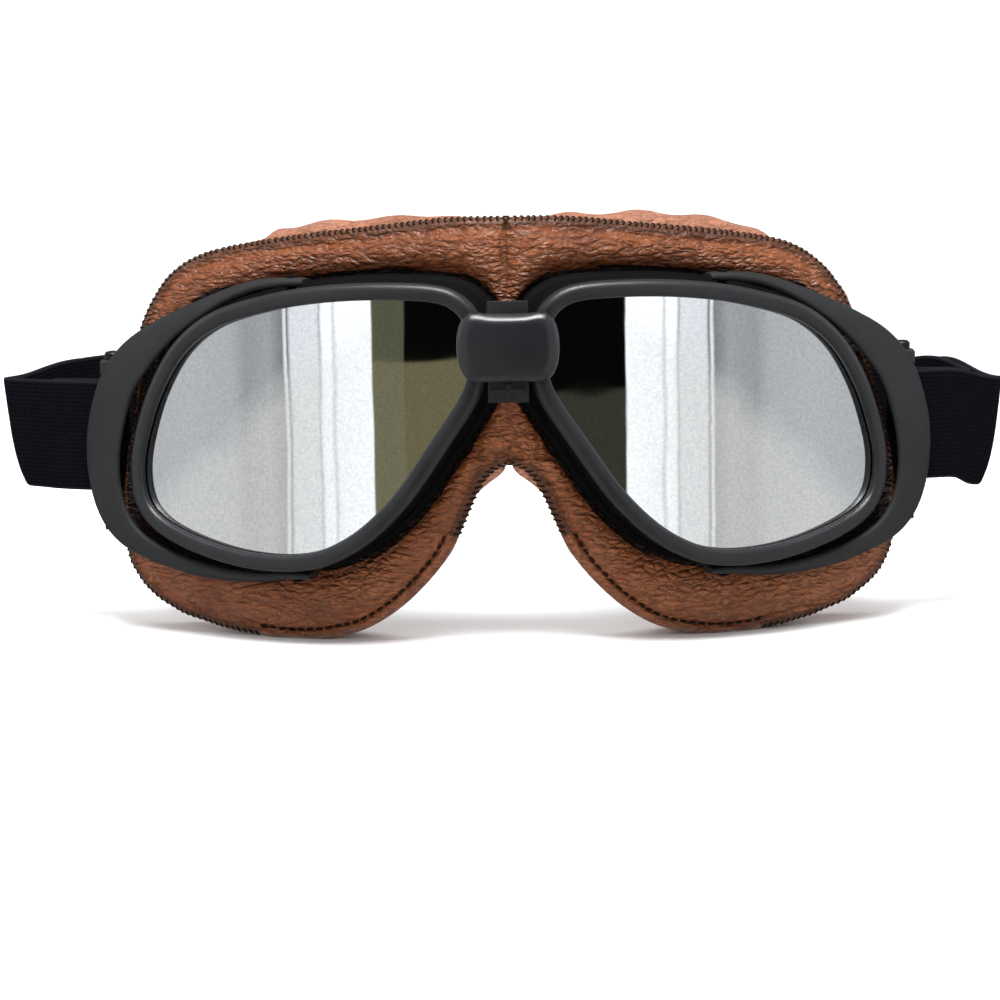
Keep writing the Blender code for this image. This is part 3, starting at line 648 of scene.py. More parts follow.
def outrigger(name, side):
    """C-shaped arm with soft edges, square ends, and lugs for the strap pin."""
    inner = even_points(smooth_line(ARM_INNER, False), 160)
    outer = even_points(smooth_line(ARM_OUTER, False), 160)
    along = np.gradient(inner + outer, axis=0)
    across = outer - inner
    out = np.cross(across, along)
    out /= np.linalg.norm(out, axis=1)[:, None]
    unit = across / np.linalg.norm(across, axis=1)[:, None]
    width = np.linalg.norm(across, axis=1)
    half = ARM_THICK / 2
    round_edge = [(0.0, 0.0), (0.05, 0.38), (0.22, 0.68), (0.5, 0.86), (0.9, 0.97)]
    ends = smoothstep(0, 2, np.arange(160)) * smoothstep(0, 2, 159 - np.arange(160))
    shrink = 0.72 + 0.28 * ends
    columns = []
    for d, h in round_edge:
        columns.append(("in", d, h))
    for part in (0.3, 0.5, 0.7):
        columns.append(("part", part, 1.0 + 0.10 * math.sin(math.pi * part)))
    for d, h in round_edge[::-1]:
        columns.append(("out", d, h))
    for d, h in round_edge[1:]:
        columns.append(("out", d, -h))
    for part in (0.7, 0.5, 0.3):
        columns.append(("part", part, -1.0))
    for d, h in round_edge[:0:-1]:
        columns.append(("in", d, -h))
    rows = []
    for kind, a, h in columns:
        if kind == "in":
            base = inner + unit * a
        elif kind == "out":
            base = outer - unit * a
        else:
            base = inner + unit * (width * a)[:, None]
        q = base + out * (half * h * shrink)[:, None]
        rows.append(place(side, q[:, 0], q[:, 1], q[:, 2]))
    rows = np.swapaxes(np.array(rows), 0, 1)
    mesh = Mesh()
    mesh.closed(rows)
    obj = mesh.build("strap_arm_" + name, ARM_CHARCOAL)
    parts = []
    for low in (EAR_TOP, EAR_BOTTOM):
        high = low + EAR_HEIGHT
        radius = STRAP_PIN_R + 1.0
        parts.append(turned("ear", side * STRAP_PIN_X, STRAP_PIN_Y,
                            [(low, radius - 0.35), (low + 0.35, radius), (high - 0.35, radius),
                             (high, radius - 0.35)], ARM_CHARCOAL))
        parts.append(block("neck", (side * 87.2, 27.0, low + 0.02), (side * 91.0, STRAP_PIN_Y, high - 0.02),
                           ARM_CHARCOAL))
    combine(obj, parts, "UNION")
    pin_hole = turned("hole", side * STRAP_PIN_X, STRAP_PIN_Y,
                      [(STRAP_PIN_LOW - 4, STRAP_PIN_R + 0.15), (STRAP_PIN_HIGH + 4, STRAP_PIN_R + 0.15)],
                      ARM_CHARCOAL)
    combine(obj, [pin_hole], "DIFFERENCE")
    return obj


def round_edges(obj, width):
    bevel = obj.modifiers.new("bevel", "BEVEL")
    bevel.width = width * MM
    bevel.segments = 2
    bevel.limit_method = "ANGLE"
    bevel.angle_limit = math.radians(40)
    bevel.use_clamp_overlap = True
    apply_modifiers(obj)
    tidy_mesh(obj)


def block(name, low, high, made):
    rows = [point(np.array((low[0], high[0], high[0], low[0])),
                  np.array((low[1], low[1], high[1], high[1])), z) for z in (low[2], high[2])]
    mesh = Mesh()
    mesh.closed(rows)
    return mesh.build(name, made)


def pivot_pin(name, side, arm_z, inward):
    x = side * (PIVOT_U * math.cos(YAW) + PIVOT_F * math.sin(YAW))
    y = PIVOT_U * math.sin(YAW) - PIVOT_F * math.cos(YAW)
    outer = arm_z - inward * (ARM_THICK / 2 + GAP)
    levels = [(outer - inward * 0.32, 0.6), (outer - inward * 0.3, 0.9), (outer - inward * 0.2, 1.15),
              (outer - inward * 0.06, 1.25), (outer, 1.25), (outer + inward * 0.02, 1.0),
              (outer + inward * 5.4, 1.0), (outer + inward * 5.6, 0.8)]
    return turned(name, x, y, levels, WALL_SHADE_AND_PIN_BLACK)


def cover_dome(p):
    return 0.55 * (1 - (p[:, 0] / 11) ** 2) + 0.65 * (1 - ((p[:, 1] + 1.0) / 8) ** 2)


def bridge_cover():
    """Barrel-shaped cap: the top edge dips between its corners, and its face is plain."""
    half = [(0, 6.95), (3.8, 7.0), (6.4, 7.3), (8.3, 7.0), (9.7, 5.6), (10.55, 3.2), (10.8, 0.4),
            (10.65, -2.4), (9.95, -4.9), (8.7, -6.7), (6.8, -7.35), (3.8, -7.35), (0, -7.35)]
    outline = half + [(-x, z) for x, z in half[-2:0:-1]]
    ring = even_points(smooth_line(outline, True), 120, True)
    normal = normals_2d(ring)
    levels = [(0.0, COVER_BACK), (0.0, -10.3), (0.08, -10.62), (0.26, -10.9), (0.55, -11.1), (0.95, -11.24),
              (1.5, -11.33)]
    rows = [point(p[:, 0], f - cover_dome(p) * smoothstep(0, 1.5, inset), COVER_Z + p[:, 1])
            for inset, f in levels for p in [ring - normal * inset]]
    inner = ring - normal * 1.5
    for scale in (0.85, 0.65, 0.45, 0.25, 0.05):
        p = inner * scale
        rows.append(point(p[:, 0], -11.33 - 0.08 * (1 - scale) - cover_dome(p), COVER_Z + p[:, 1]))
    mesh = Mesh()
    mesh.closed(rows)
    return mesh.build("nose_cover", COVER_BLACK, sharp=40)


shown(bridge_cover(), "bridge", "cover_plastic", "bridge_cover")
shown(bevelled_copy("bridge_link", "nose_link", 0.28, FRAME_BLACK), "bridge", "frame_plastic",
      "bridge_link")
shown(bevelled_copy("strap_slider", "adjuster_frame", 0.3, SLIDER_PLASTIC), "adjuster",
      "frame_plastic", "strap_slider")

for name, side in SIDES.items():
    cup, arm = "eyecup_" + name, "arm_" + name
    shown(eyecup_frame(name, side), cup, "frame_plastic", "eyecup_frame_" + name)
    shown(lens(name, side), cup, "mirror_lens", "lens_" + name)
    top = -(LIP + LENS_THICK + 2 * GAP)
    shown(ring_piece("lens_ring_" + name, side,
                     [(0.4, top), (0.55, top + 0.1), (1.65, top + 0.1), (1.8, top), (1.8, top - 1.05),
                      (1.65, top - 1.2), (0.55, top - 1.2), (0.4, top - 1.05)], True, RING_PLASTIC),
          cup, "frame_plastic", "lens_retainer_" + name)
    shown(ring_piece("clamp_" + name, side,
                     [(0.8, -1.95), (0.95, -1.8), (1.65, -1.8), (1.8, -1.95), (1.8, -2.9), (4.5, -2.9),
                      (4.5, -3.8), (4.2, -4.1), (1.3, -4.1), (0.95, -3.95), (0.8, -3.6)],
                     False, RING_PLASTIC, CLAMP_NEAREST_U),
          cup, "frame_plastic", "clamp_ring_" + name)
    shown(outrigger(name, side), arm, "arm_plastic", "outrigger_" + name)
    for label, arm_z, inward in (("top", ARM_TOP_Z, -1), ("bottom", ARM_BOTTOM_Z, 1)):
        shown(pivot_pin(f"rivet_{label}_{name}", side, arm_z, inward), cup, "pin_steel",
              f"pivot_pin_{label}_{name}")
    shown(turned("strap_bar_" + name, side * STRAP_PIN_X, STRAP_PIN_Y,
                 [(STRAP_PIN_LOW, 1.5), (STRAP_PIN_LOW + 0.4, STRAP_PIN_R),
                  (STRAP_PIN_HIGH - 0.6, STRAP_PIN_R), (STRAP_PIN_HIGH - 0.2, 1.6),
                  (STRAP_PIN_HIGH, 1.0)], STEEL),
          arm, "pin_steel", "strap_pin_" + name)
    shown(turned("hinge_pin_" + name, side * HINGE_X, HINGE_Y,
                 [(61.2, 0.5), (61.4, 0.7), (74.2, 0.7), (74.4, 0.5)], STEEL),
          "bridge", "pin_steel", "bridge_pin_" + name)


# ---------------------------------------------------------------- leather mask

NOSE_Z, BROW_Z = 40.0, 93.0
CENTRE_POINTS = 29                  # points up the centre line
STITCH_PITCH = 1.42                 # from one overlock stitch to the next
SEAM_INSET, SEAM_PITCH = 2.4, 2.35  # the seam's distance from the edge, and its stitches' pitch
SUNK_LENGTH = 1.5                   # one stitch of the seam
OVERLOCK_RADIUS, SUNK_RADIUS, TACK_RADIUS = 0.22, 0.34, 0.16    # of the threads
SEAM_RAMP = 0.015                   # share of the edge over which the seam strip begins and ends
TEMPLE_SHIFT = {-1: 2.5, 1: -1.8}   # the two upper temples aren't cut quite alike


def mask_edge(side):
    """The mask's sewn edge from the top centre round to the nose, and the seam up the centre."""
    line = smooth_line(MASK_OUTLINE, False)
    upper = smoothstep(58, 76, line[:, 0]) * smoothstep(46, 68, line[:, 1])
    line[:, 0] += TEMPLE_SHIFT[side] * upper
    outer = even_points(line, EDGE_POINTS)
    up_centre = np.linspace(NOSE_Z, BROW_Z, CENTRE_POINTS + 2)[1:-1]
    centre = np.stack([np.zeros(CENTRE_POINTS), up_centre], 1)
    return outer, np.vstack([outer, centre])


EDGE_SHARE = np.concatenate([np.linspace(0, 1, EDGE_POINTS), np.full(CENTRE_POINTS, 2.0)])


def to_half(where, side, gap=-0.04):
    """Keeps a half on its own side of the centre and off the ground."""
    where = np.array(where)
    where[..., 0] = side * np.maximum(side * where[..., 0], gap * MM)
    where[..., 2] = np.maximum(where[..., 2], 0.0)
    return where


def edge_lean(outer, unit):
    """How square each radial line stands to the sewn edge, from 0.3 to 1."""
    along = np.gradient(outer, axis=0)
    along /= np.linalg.norm(along, axis=1)[:, None]
    return np.clip(np.abs(unit[:, 0] * along[:, 1] - unit[:, 1] * along[:, 0]), 0.3, 1.0)


def mask_front(away, width):
    """How far forward the leather stands, away mm out from the flange on a strip width wide."""
    s = np.clip(away / width, 0, 1)
    size = np.clip(width / 13.0, 0.25, 1.0)
    crown = profile((0, 0.05, 0.13, 0.25, 0.45, 0.68, 0.86, 0.95, 1.0),
                    (-1.7, -1.2, 0.1, 1.25, 1.9, 1.55, 0.55, -0.35, -1.1), s)
    return WALL_BACK - GAP + (crown + 1.3) * size


def mask_leather(name, side):
    outer, edge = mask_edge(side)
    hole = ray_hits(offset_ring(RIM_WIDTH - WALL + 0.5), edge)
    flange = ray_hits(offset_ring(RIM_WIDTH + FLANGE + 0.1), edge)
    span = edge - hole
    length = np.linalg.norm(span, axis=1)
    under = np.linalg.norm(flange - hole, axis=1)
    width = length - under
    unit = span / length[:, None]
    lean = np.concatenate([edge_lean(outer, unit[:EDGE_POINTS]), np.ones(CENTRE_POINTS)])
    strip = smoothstep(SEAM_FROM - SEAM_RAMP, SEAM_FROM + SEAM_RAMP, EDGE_SHARE) \
        * (1 - smoothstep(SEAM_TO - SEAM_RAMP, SEAM_TO + SEAM_RAMP, EDGE_SHARE))
    on_centre = EDGE_SHARE > 1.5
    arc_mm = np.concatenate([[0], np.cumsum(np.linalg.norm(np.diff(edge, axis=0), axis=1))])
    parts = np.concatenate([np.linspace(0, 0.2, 5)[:-1], np.linspace(0.2, 0.8, 16)[:-1],
                            np.linspace(0.8, 1.0, 12)])
    rows, fronts, flats = [], [], []
    for s in parts:
        away = s * width
        u, z = (hole + unit * (under + away)[:, None]).T
        f = mask_front(away, width)
        from_edge = np.where(on_centre, np.minimum(BROW_Z - z, z - NOSE_Z), (width - away) * lean)
        # the overlock draws the edge in at each stitch; the seam groove lies inside the strip
        sewn = 1 - strip
        f = f - 0.13 * sewn * np.exp(-((from_edge - 1.3) / 1.2) ** 2) \
            * (1 + np.sin(arc_mm * 2 * math.pi / STITCH_PITCH))
        f = f - 0.75 * sewn * np.exp(-((from_edge - 2.7) / 0.8) ** 2)
        f = f - 0.95 * strip * np.exp(-((from_edge - SEAM_INSET) / 0.55) ** 2)
        f = f + 0.35 * strip * np.exp(-((from_edge - 1.1) / 0.8) ** 2)
        # soft gathers that run in from the sewn edge, and the leather rounded over the middle of the brow
        near = np.exp(-from_edge / 4.5)
        where = place(side, u, f, z)
        gather = wobble(np.stack([arc_mm * 0.19, s * 1.2 + 0 * arc_mm, 0 * arc_mm], -1), 1.0, 3.0 + side)
        f = f + 0.75 * gather * near * smoothstep(1, 8, u)
        f = f + 0.55 * wobble(where, 62.0, 1.0) * np.sin(math.pi * min(s + 0.1, 1.0))
        f = f + 0.28 * wobble(where, 150.0, 5.0) * np.sin(math.pi * min(s + 0.05, 1.0))
        f = f - 1.5 * np.exp(-u / 4.6)      # rounds the leather over the centre of the brow
        fronts.append(f)
        flats.append(np.stack([u, z], 1))
        rows.append(to_half(place(side, u, f, z), side))
    edge_f = fronts[-1]
    edge_u, edge_z = edge.T
    for drop in (0.5, 1.0):
        rows.append(to_half(place(side, edge_u, edge_f + (LEATHER_BACK - edge_f) * drop, edge_z), side))
    inside = hole + unit * (under * 0.5)[:, None]
    rows.append(to_half(place(side, inside[:, 0], LEATHER_BACK + 0 * edge_u, inside[:, 1]), side))
    rows.append(to_half(place(side, hole[:, 0], LEATHER_BACK + 0 * edge_u, hole[:, 1]), side))
    rows.append(to_half(place(side, hole[:, 0], WALL_BACK - GAP + 0 * edge_u, hole[:, 1]), side))
    mesh = Mesh()
    mesh.grid(rows, close_rows=True, close_columns=True)
    obj = mesh.build("leather_mask_" + name, FRONT_LEATHER, SEWN_BAND_SHADE_LEATHER,
                     SHADED_LEATHER, sharp=60)
    # painted shade: the leather is darkened under the overlock and down beside the flange
    columns = len(edge)
    shade = 0.7 + 2.9 * smoothstep(60, 72, edge[:, 0])
    for polygon in obj.data.polygons:
        row, column = min(polygon.vertices) // columns, min(polygon.vertices) % columns
        if column < EDGE_POINTS and row > len(parts) // 2:
            from_edge = (1 - parts[min(row, len(parts) - 1)]) * width[column] * lean[column]
            if strip[column] <= 0.5 and from_edge < 2.0:
                polygon.material_index = 1
        elif row < len(parts) // 2 and parts[row] * width[column] < shade[column]:
            polygon.material_index = 2
    return obj, surface_reader(side, outer, np.array(flats), np.array(fronts)), arc_mm


def surface_reader(side, outer, flats, fronts):
    """Reads the leather's front at a place along the sewn edge and a distance in from it."""
    flats, fronts = flats.reshape(-1, 2), fronts.reshape(-1)
    tree = KDTree(len(flats))
    for index, (u, z) in enumerate(flats):
        tree.insert((u, z, 0.0), index)
    tree.balance()
    inward = -normals_open(outer)

    def read(column, from_edge):
        i = int(np.clip(column, 0, EDGE_POINTS - 2))
        t = column - i
        u, z = outer[i] * (1 - t) + outer[i + 1] * t + (inward[i] * (1 - t) + inward[i + 1] * t) * from_edge
        found = tree.find_n((u, z, 0.0), 4)
        weights = np.array([1.0 / (d + 0.02) for _, _, d in found])
        f = float(np.dot(weights, [fronts[k] for _, k, _ in found]) / weights.sum())
        return place(side, u, f, z)
    return read


def normals_open(line):
    """Unit normals of an open line, to its left."""
    along = np.gradient(line, axis=0)
    along /= np.linalg.norm(along, axis=1)[:, None]
    return np.stack([-along[:, 1], along[:, 0]], 1)


def stitching(name, side, read, arc_mm):
    """Overlock stitches round the edge, and a line of sunk stitches along the sewn strip."""
    total = arc_mm[EDGE_POINTS - 1]
    per_mm = (EDGE_POINTS - 1) / total
    forward = np.array(place(side, 0, 1, 0) - place(side, 0, 0, 0))
    overlock, sunk = Mesh(), Mesh()
    at = 0.7
    while at < total - 0.7:
        share = at / total
        jitter = noise.noise(Vector((at * 1.7, side * 3.0, 0.0)))
        if SEAM_FROM <= share <= SEAM_TO:
            column = at * per_mm
            ends = [column, column + SUNK_LENGTH * per_mm]
            line = []
            for k, lift in zip(np.linspace(0, 1, 7), (-0.35, 0.1, 0.26, 0.3, 0.26, 0.1, -0.35)):
                spot = read(ends[0] * (1 - k) + ends[1] * k, SEAM_INSET + 0.15 * jitter)
                line.append(spot + forward * lift)
            sunk.tube(line, SUNK_RADIUS * MM, 7)
            at += SEAM_PITCH
        else:
            column, lean = at * per_mm, 0.55 * per_mm
            deep = 0.85 + 0.3 * jitter
            line = []
            for k, (depth, lift) in enumerate(((deep, -0.3), (deep - 0.2, 0.02), (deep * 0.66, 0.14),
                                               (deep * 0.33, 0.18), (0.1, 0.18))):
                line.append(read(column + lean * k / 4, depth) + forward * lift)
            edge = read(column + lean, 0.0)
            out = edge - read(column + lean, 0.8)
            out -= forward * (out @ forward) / (forward @ forward)
            out /= np.linalg.norm(out) + 1e-12
            down = (edge - read(column, 0.0)) * 0.2
            line.append(edge + out * 0.10 * MM - forward * 0.5 + down)
            line.append(edge + out * 0.08 * MM - forward * 1.5 + down)
            line.append(edge - out * 0.5 * MM - forward * 1.9 + down)
            overlock.tube(to_half(line, side, 0.1), OVERLOCK_RADIUS * MM, 6)
            at += STITCH_PITCH + 0.22 * noise.noise(Vector((at * 0.9, 7.0, side)))
    return overlock.build("overlock_" + name, THREAD), sunk.build("seam_stitches_" + name, THREAD)


def on_fold(obj):
    """Bakes a piece's transform into its mesh."""
    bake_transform(obj)


for name, side in SIDES.items():
    hide, read, arc_mm = mask_leather(name, side)
    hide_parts("mask_leather_" + name)
    on_fold(hide)
    for piece in stitching(name, side, read, arc_mm):
        on_fold(piece)


# ---------------------------------------------------------------- face cushions

def coordinates(mesh):
    flat = np.empty(len(mesh.vertices) * 3)
    mesh.vertices.foreach_get("co", flat)
    return flat.reshape(-1, 3)


def write_coordinates(mesh, points):
    mesh.vertices.foreach_set("co", np.asarray(points, float).ravel())
    mesh.update()


def inflate(obj, held, cap_mm):
    """Blows the cover out round its filling, held where it is sewn; the motion is capped."""
    rest = coordinates(obj.data)
    group = obj.vertex_groups.new(name="held")
    for index in np.nonzero(held)[0]:
        group.add([int(index)], 1.0, "REPLACE")
    cloth = obj.modifiers.new("cloth", "CLOTH")
    settings = cloth.settings
    settings.quality = 6
    settings.mass = 0.15
    settings.tension_stiffness = 12
    settings.compression_stiffness = 8
    settings.shear_stiffness = 5
    settings.bending_stiffness = 0.2
    settings.use_pressure = True
    settings.uniform_pressure_force = 4.0
    settings.vertex_group_mass = "held"
    settings.effector_weights.gravity = 0.0
    cloth.collision_settings.use_collision = False
    scene = bpy.context.scene
    for step in range(1, CLOTH_STEPS + 1):
        scene.frame_set(step)
    evaluated = obj.evaluated_get(bpy.context.evaluated_depsgraph_get())
    moved = coordinates(evaluated.to_mesh())
    evaluated.to_mesh_clear()
    obj.modifiers.clear()
    motion = moved - rest
    size = np.linalg.norm(motion, axis=1)
    keep = np.minimum(1.0, cap_mm * MM / np.maximum(size, 1e-9))
    write_coordinates(obj.data, rest + motion * keep[:, None])
    scene.frame_set(1)


HUMP_END = {-1: 56.5, 1: 62.0}      # where the rear's gathers stop showing above the brow
PADDING_CELL = 1.15                 # of the remesh, which opens holes where the cushion is thinner
CLOTH_STEPS = 20


def face_cushion(name, side):
    """The rear padding, from its CAD solid: inflated, then drawn in at its gathers."""
    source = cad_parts["face_cushion_" + name]
    obj = bpy.data.objects.new("padding_" + name, source.data.copy())
    bpy.context.scene.collection.objects.link(obj)
    obj.data.transform(source.matrix_world)
    bm = bmesh.new()
    bm.from_mesh(obj.data)
    bmesh.ops.remove_doubles(bm, verts=bm.verts, dist=1e-6)
    bm.to_mesh(obj.data)
    bm.free()
    remesh = obj.modifiers.new("remesh", "REMESH")
    remesh.mode = "VOXEL"
    remesh.voxel_size = PADDING_CELL * MM
    apply_modifiers(obj)
    co = coordinates(obj.data)
    u, f, z = local(co, side).T
    held = (f > LEATHER_BACK - GAP - 1.2) | (side * co[:, 0] < 0.0012)
    inflate(obj, held, 2.2)
    smooth = obj.modifiers.new("smooth", "SMOOTH")
    smooth.factor, smooth.iterations = 0.5, 4
    apply_modifiers(obj)
    co = coordinates(obj.data)
    u, f, z = local(co, side).T
    angle = np.arctan2(z - CENTRE[1], u - CENTRE[0])
    depth = np.clip((LEATHER_BACK - GAP - f) / 9.0, 0, 1)
    radial = np.stack([u - CENTRE[0], z - CENTRE[1]], 1)
    radial /= np.linalg.norm(radial, axis=1)[:, None]
    # gathers fan out at the temple; shallow lumps elsewhere
    temple = smoothstep(55, 82, u)
    fan = np.sin(angle * 44 + 2.0 * np.sin(angle * 7)) * temple
    bottom = smoothstep(1.5, 5.0, z)
    outward = (np.linalg.norm([u - CENTRE[0], z - CENTRE[1]], axis=0) > 30) * smoothstep(55, 80, z)
    humps = 1.0 + 0.5 * np.sin((u - HUMP_END[side]) * 2 * math.pi / 17.0)
    swell = outward * (1.35 * humps * smoothstep(8, 20, u) * (1 - smoothstep(-1.0, 0.8, u - HUMP_END[side]))
                       - 0.8 * smoothstep(-0.5, 2.0, u - HUMP_END[side]))
    push = (0.55 * fan + 0.9 * wobble(co, 70.0, 9.0) + 0.4 * wobble(co, 170.0, 2.0) + swell) \
        * depth ** 0.6 * bottom
    u, z = u + radial[:, 0] * push, z + radial[:, 1] * push
    # the sewn edge holds the rear in, most of all beside the nose
    edge = mask_edge(side)[0] - CENTRE
    turn = np.arctan2(edge[:, 1], edge[:, 0])
    order = np.argsort(turn)
    reach = np.interp(angle, turn[order], np.linalg.norm(edge[order], axis=1), period=2 * math.pi)
    nose = 1 - smoothstep(34, 48, u)
    reach = reach - 0.4 - 3.0 * depth * nose
    radius = np.linalg.norm([u - CENTRE[0], z - CENTRE[1]], axis=0)
    excess = np.maximum(radius - reach, 0.0) * (1 - smoothstep(56, 70, z)) * (radius > 25) \
        * smoothstep(3, 8, u)
    u, z = u - radial[:, 0] * excess, z - radial[:, 1] * excess
    f = f - 0.5 * fan * depth - 0.7 * wobble(co, 85.0, 4.0) * depth
    f = np.minimum(f, LEATHER_BACK - 0.05)
    write_coordinates(obj.data, to_half(place(side, u, f, z), side))
    obj.data.materials.clear()
    obj.data.materials.append(REAR_LEATHER)
    tidy_mesh(obj, 80)
    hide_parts("face_cushion_" + name)
    on_fold(obj)


for name, side in SIDES.items():
    face_cushion(name, side)


# ---------------------------------------------------------------- strap

def arc(cx, cy, radius, start, end, steps):
    angles = np.radians(np.linspace(start, end, steps + 1))
    return np.stack([cx + radius * np.cos(angles), cy + radius * np.sin(angles)], 1)


RUN_START = np.array((FOLD_X - 3.0, FOLD_Y + 2.2))
RUN_END = np.array((JOIN_X, JOIN_Y))
RUN_ALONG = (RUN_END - RUN_START) / np.linalg.norm(RUN_END - RUN_START)
RUN_INWARD = np.array((-RUN_ALONG[1], RUN_ALONG[0]))


def side_path(right):
    """The band's middle line in plan: sewn or adjusted end, round the bar, fold, back to the join."""
    wrap = arc(STRAP_PIN_X, STRAP_PIN_Y, STRAP_PIN_R + GAP + STRAP_THICK / 2, 80, 275, 14)
    if right:
        over = RUN_START * (1 - SLIDER_AT) + RUN_END * SLIDER_AT \
            + RUN_INWARD * (STRAP_THICK * 1.5 + SLIDER_THICK + 2 * GAP)
        start = np.vstack([over + RUN_ALONG, over - RUN_ALONG * 4, over - RUN_ALONG * 9,
                           [(104.4, 42.6), (105.4, 40.4), (104.0, 38.9), (98.0, 37.8)]])
    else:
        start = np.array([(103.0, 37.6), (97.5, 37.4)])
    fold = np.vstack([[(97.0, 33.2), (104, 35.2), (FOLD_X - 2.2, FOLD_Y - 3.0)],
                      arc(FOLD_X - 1.5, FOLD_Y - 1.4, 1.5, -40, 40, 4)])
    run = RUN_START + (RUN_END - RUN_START) * np.linspace(0, 1, 9)[:, None]
    line = smooth_line(np.vstack([start, wrap, fold, run]), False, 6)
    length = np.linalg.norm(np.diff(line, axis=0), axis=1).sum()
    return even_points(line, int(length / 0.55))


def rear_path():
    points = [(-JOIN_X, JOIN_Y), (-67.5, 88.4), (-46, 101.2), (-22, 109.4), (0, REAR_Y - 0.7),
              (22, 109.4), (46, 101.2), (67.5, 88.4), (JOIN_X, JOIN_Y)]
    line = smooth_line(points, False)
    half = line[np.nonzero(line[:, 0] >= -1e-9)[0]]
    return even_points(half, 150)[::-1]


STRAP_DROP = {-1: 0.5, 1: -2.2}     # how the slack ends hang, and how far the returns ride up
STRAP_RISE = {-1: 3.4, 1: 2.0}
RISE_END = {-1: JOIN_Y + 40, 1: 59.0}     # the buckle side is level again at the buckle


def band(name, side, line, start_along=0.0):
    """A woven band on edge along a plan line, with rounded selvages and a slightly wavy face."""
    height = STRAP_HIGH - STRAP_LOW
    radius = STRAP_THICK / 2
    levels = np.concatenate([[0.12, 0.38, 0.8], np.linspace(1.6, height - 1.6, 13),
                             height - np.array((0.8, 0.38, 0.12))])
    half_thick = radius * np.sqrt(np.clip(1 - (1 - np.clip(np.minimum(levels, height - levels) / 0.8, 0, 1))
                                          ** 2, 0, 1))
    along = np.gradient(line, axis=0)
    along /= np.linalg.norm(along, axis=1)[:, None]
    out = np.stack([along[:, 1], -along[:, 0]], 1)
    distance = np.concatenate([[0], np.cumsum(np.linalg.norm(np.diff(line, axis=0), axis=1))]) + start_along
    section = [(1, v, h) for v, h in zip(levels, half_thick)] \
        + [(-1, v, h) for v, h in zip(levels[::-1], half_thick[::-1])]
    rows = []
    for i, p in enumerate(line):
        ring = []
        for face, v, h in section:
            q = p + out[i] * face * h
            z = STRAP_LOW + v
            # the fold leans: its foot lies further in than its head
            fold_share = float(smoothstep(99.0, FOLD_X, p[0]))
            foot = (STRAP_HIGH - z) / height
            x = q[0] - fold_share * (2.6 * foot + 2.2 * max(foot, 0.0) ** 5 - FOLD_SHIFT[side])
            z += STRAP_DROP[side] * fold_share + STRAP_RISE[side] * float(
                smoothstep(FOLD_Y - 1, FOLD_Y + 14, p[1]) * smoothstep(0, 70, p[0])
                * (1 - smoothstep(RISE_END[side] - 12, RISE_END[side], p[1])))
            lift = 0.25 * noise.noise(Vector((distance[i] * 0.08, z * 0.05, side * 2.0)))
            ring.append((side * x, q[1] + lift * 0.4, z + 0.18 * noise.noise(
                Vector((distance[i] * 0.11, 3.0, side)))))
        rows.append(ring)
    rows = np.array(rows)
    rows = point(rows[..., 0], rows[..., 1], rows[..., 2])
    heights = [v for _, v, _ in section] + [section[0][1]]

    def uv(i, j):
        return distance[min(i, len(distance) - 1)] * MM, heights[j] * MM

    mesh = Mesh()
    mesh.closed(rows, uv=uv)
    return mesh.build(name, ELASTIC, sharp=70)


def sewn_box(name, side):
    """Bartack rows where the band's end is sewn to itself beside the bar."""
    mesh = Mesh()
    for column in range(3):
        x = 96.5 + column * 1.6
        for k in range(17):
            z = STRAP_LOW + 1.6 + k * 1.36
            y = 37.6 + STRAP_THICK / 2
            line = [point(side * (x - 0.5 * (k % 2)), y - 0.1, z),
                    point(side * (x - 0.15), y + 0.28, z + 0.45),
                    point(side * (x + 0.15), y + 0.28, z + 0.9),
                    point(side * (x + 0.5 * (k % 2)), y - 0.1, z + 1.3)]
            mesh.tube(line, TACK_RADIUS * MM, 5)
    return mesh.build(name, THREAD)


rear = rear_path()
for name, side in SIDES.items():
    line = side_path(side > 0)
    piece = band("strap_side_" + name, side, line)
    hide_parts("strap_" + name)
    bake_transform(piece)
    length = np.linalg.norm(np.diff(line, axis=0), axis=1).sum()
    half = band("strap_back_" + name, side, rear, start_along=length)
    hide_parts("strap_rear")
    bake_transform(half)
    if side < 0:
        tack = sewn_box("bartack_" + name, side)
        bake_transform(tack)


# ---------------------------------------------------------------- stage, lights and camera

def stage_floor():
    """A pale floor that curves up into a backdrop."""
    look = Look("pale_paper", Roughness=0.9, Specular_IOR_Level=0.1)
    fibre = look.noise(look.place(), 90.0, 4.0)
    look.finish(Base_Color=look.mix(fibre, (0.90, 0.90, 0.90), (0.93, 0.93, 0.93)))
    reach, bend_at, radius = 12.0, 1.2, 0.8
    line = [(-reach, 0.0), (-1.0, 0.0), (0.0, 0.0), (bend_at, 0.0)]
    for k in range(1, 13):
        angle = math.radians(90 * k / 12)
        line.append((bend_at + radius * math.sin(angle), radius * (1 - math.cos(angle))))
    line.append((bend_at + radius, 3.0))
    rows = [[(x, y, z - 0.0002) for y, z in line] for x in (-reach, -1.0, 1.0, reach)]
    mesh = Mesh()
    mesh.grid(np.array(rows))
    floor = mesh.build("floor", look.material)
    floor.visible_glossy = False


# What the lenses mirror: tent walls round the front, by bearing from straight ahead in degrees.
REFLECTED = [(28.4, 0.05), (28.7, 1.5), (35.2, 1.35), (35.9, 0.75), (36.5, 1.4), (38.2, 1.3), (38.6, 0.45),
             (39.1, 0.92), (44.4, 0.88), (45.0, 0.16), (45.5, 1.3), (46.0, 0.26), (47.6, 0.34), (49.0, 0.42),
             (54.0, 0.38), (57.0, 0.50), (66.0, 0.54), (88.0, 0.46)]
LEFT_TURN = 3.0                 # the left lens shows the walls this many degrees further round


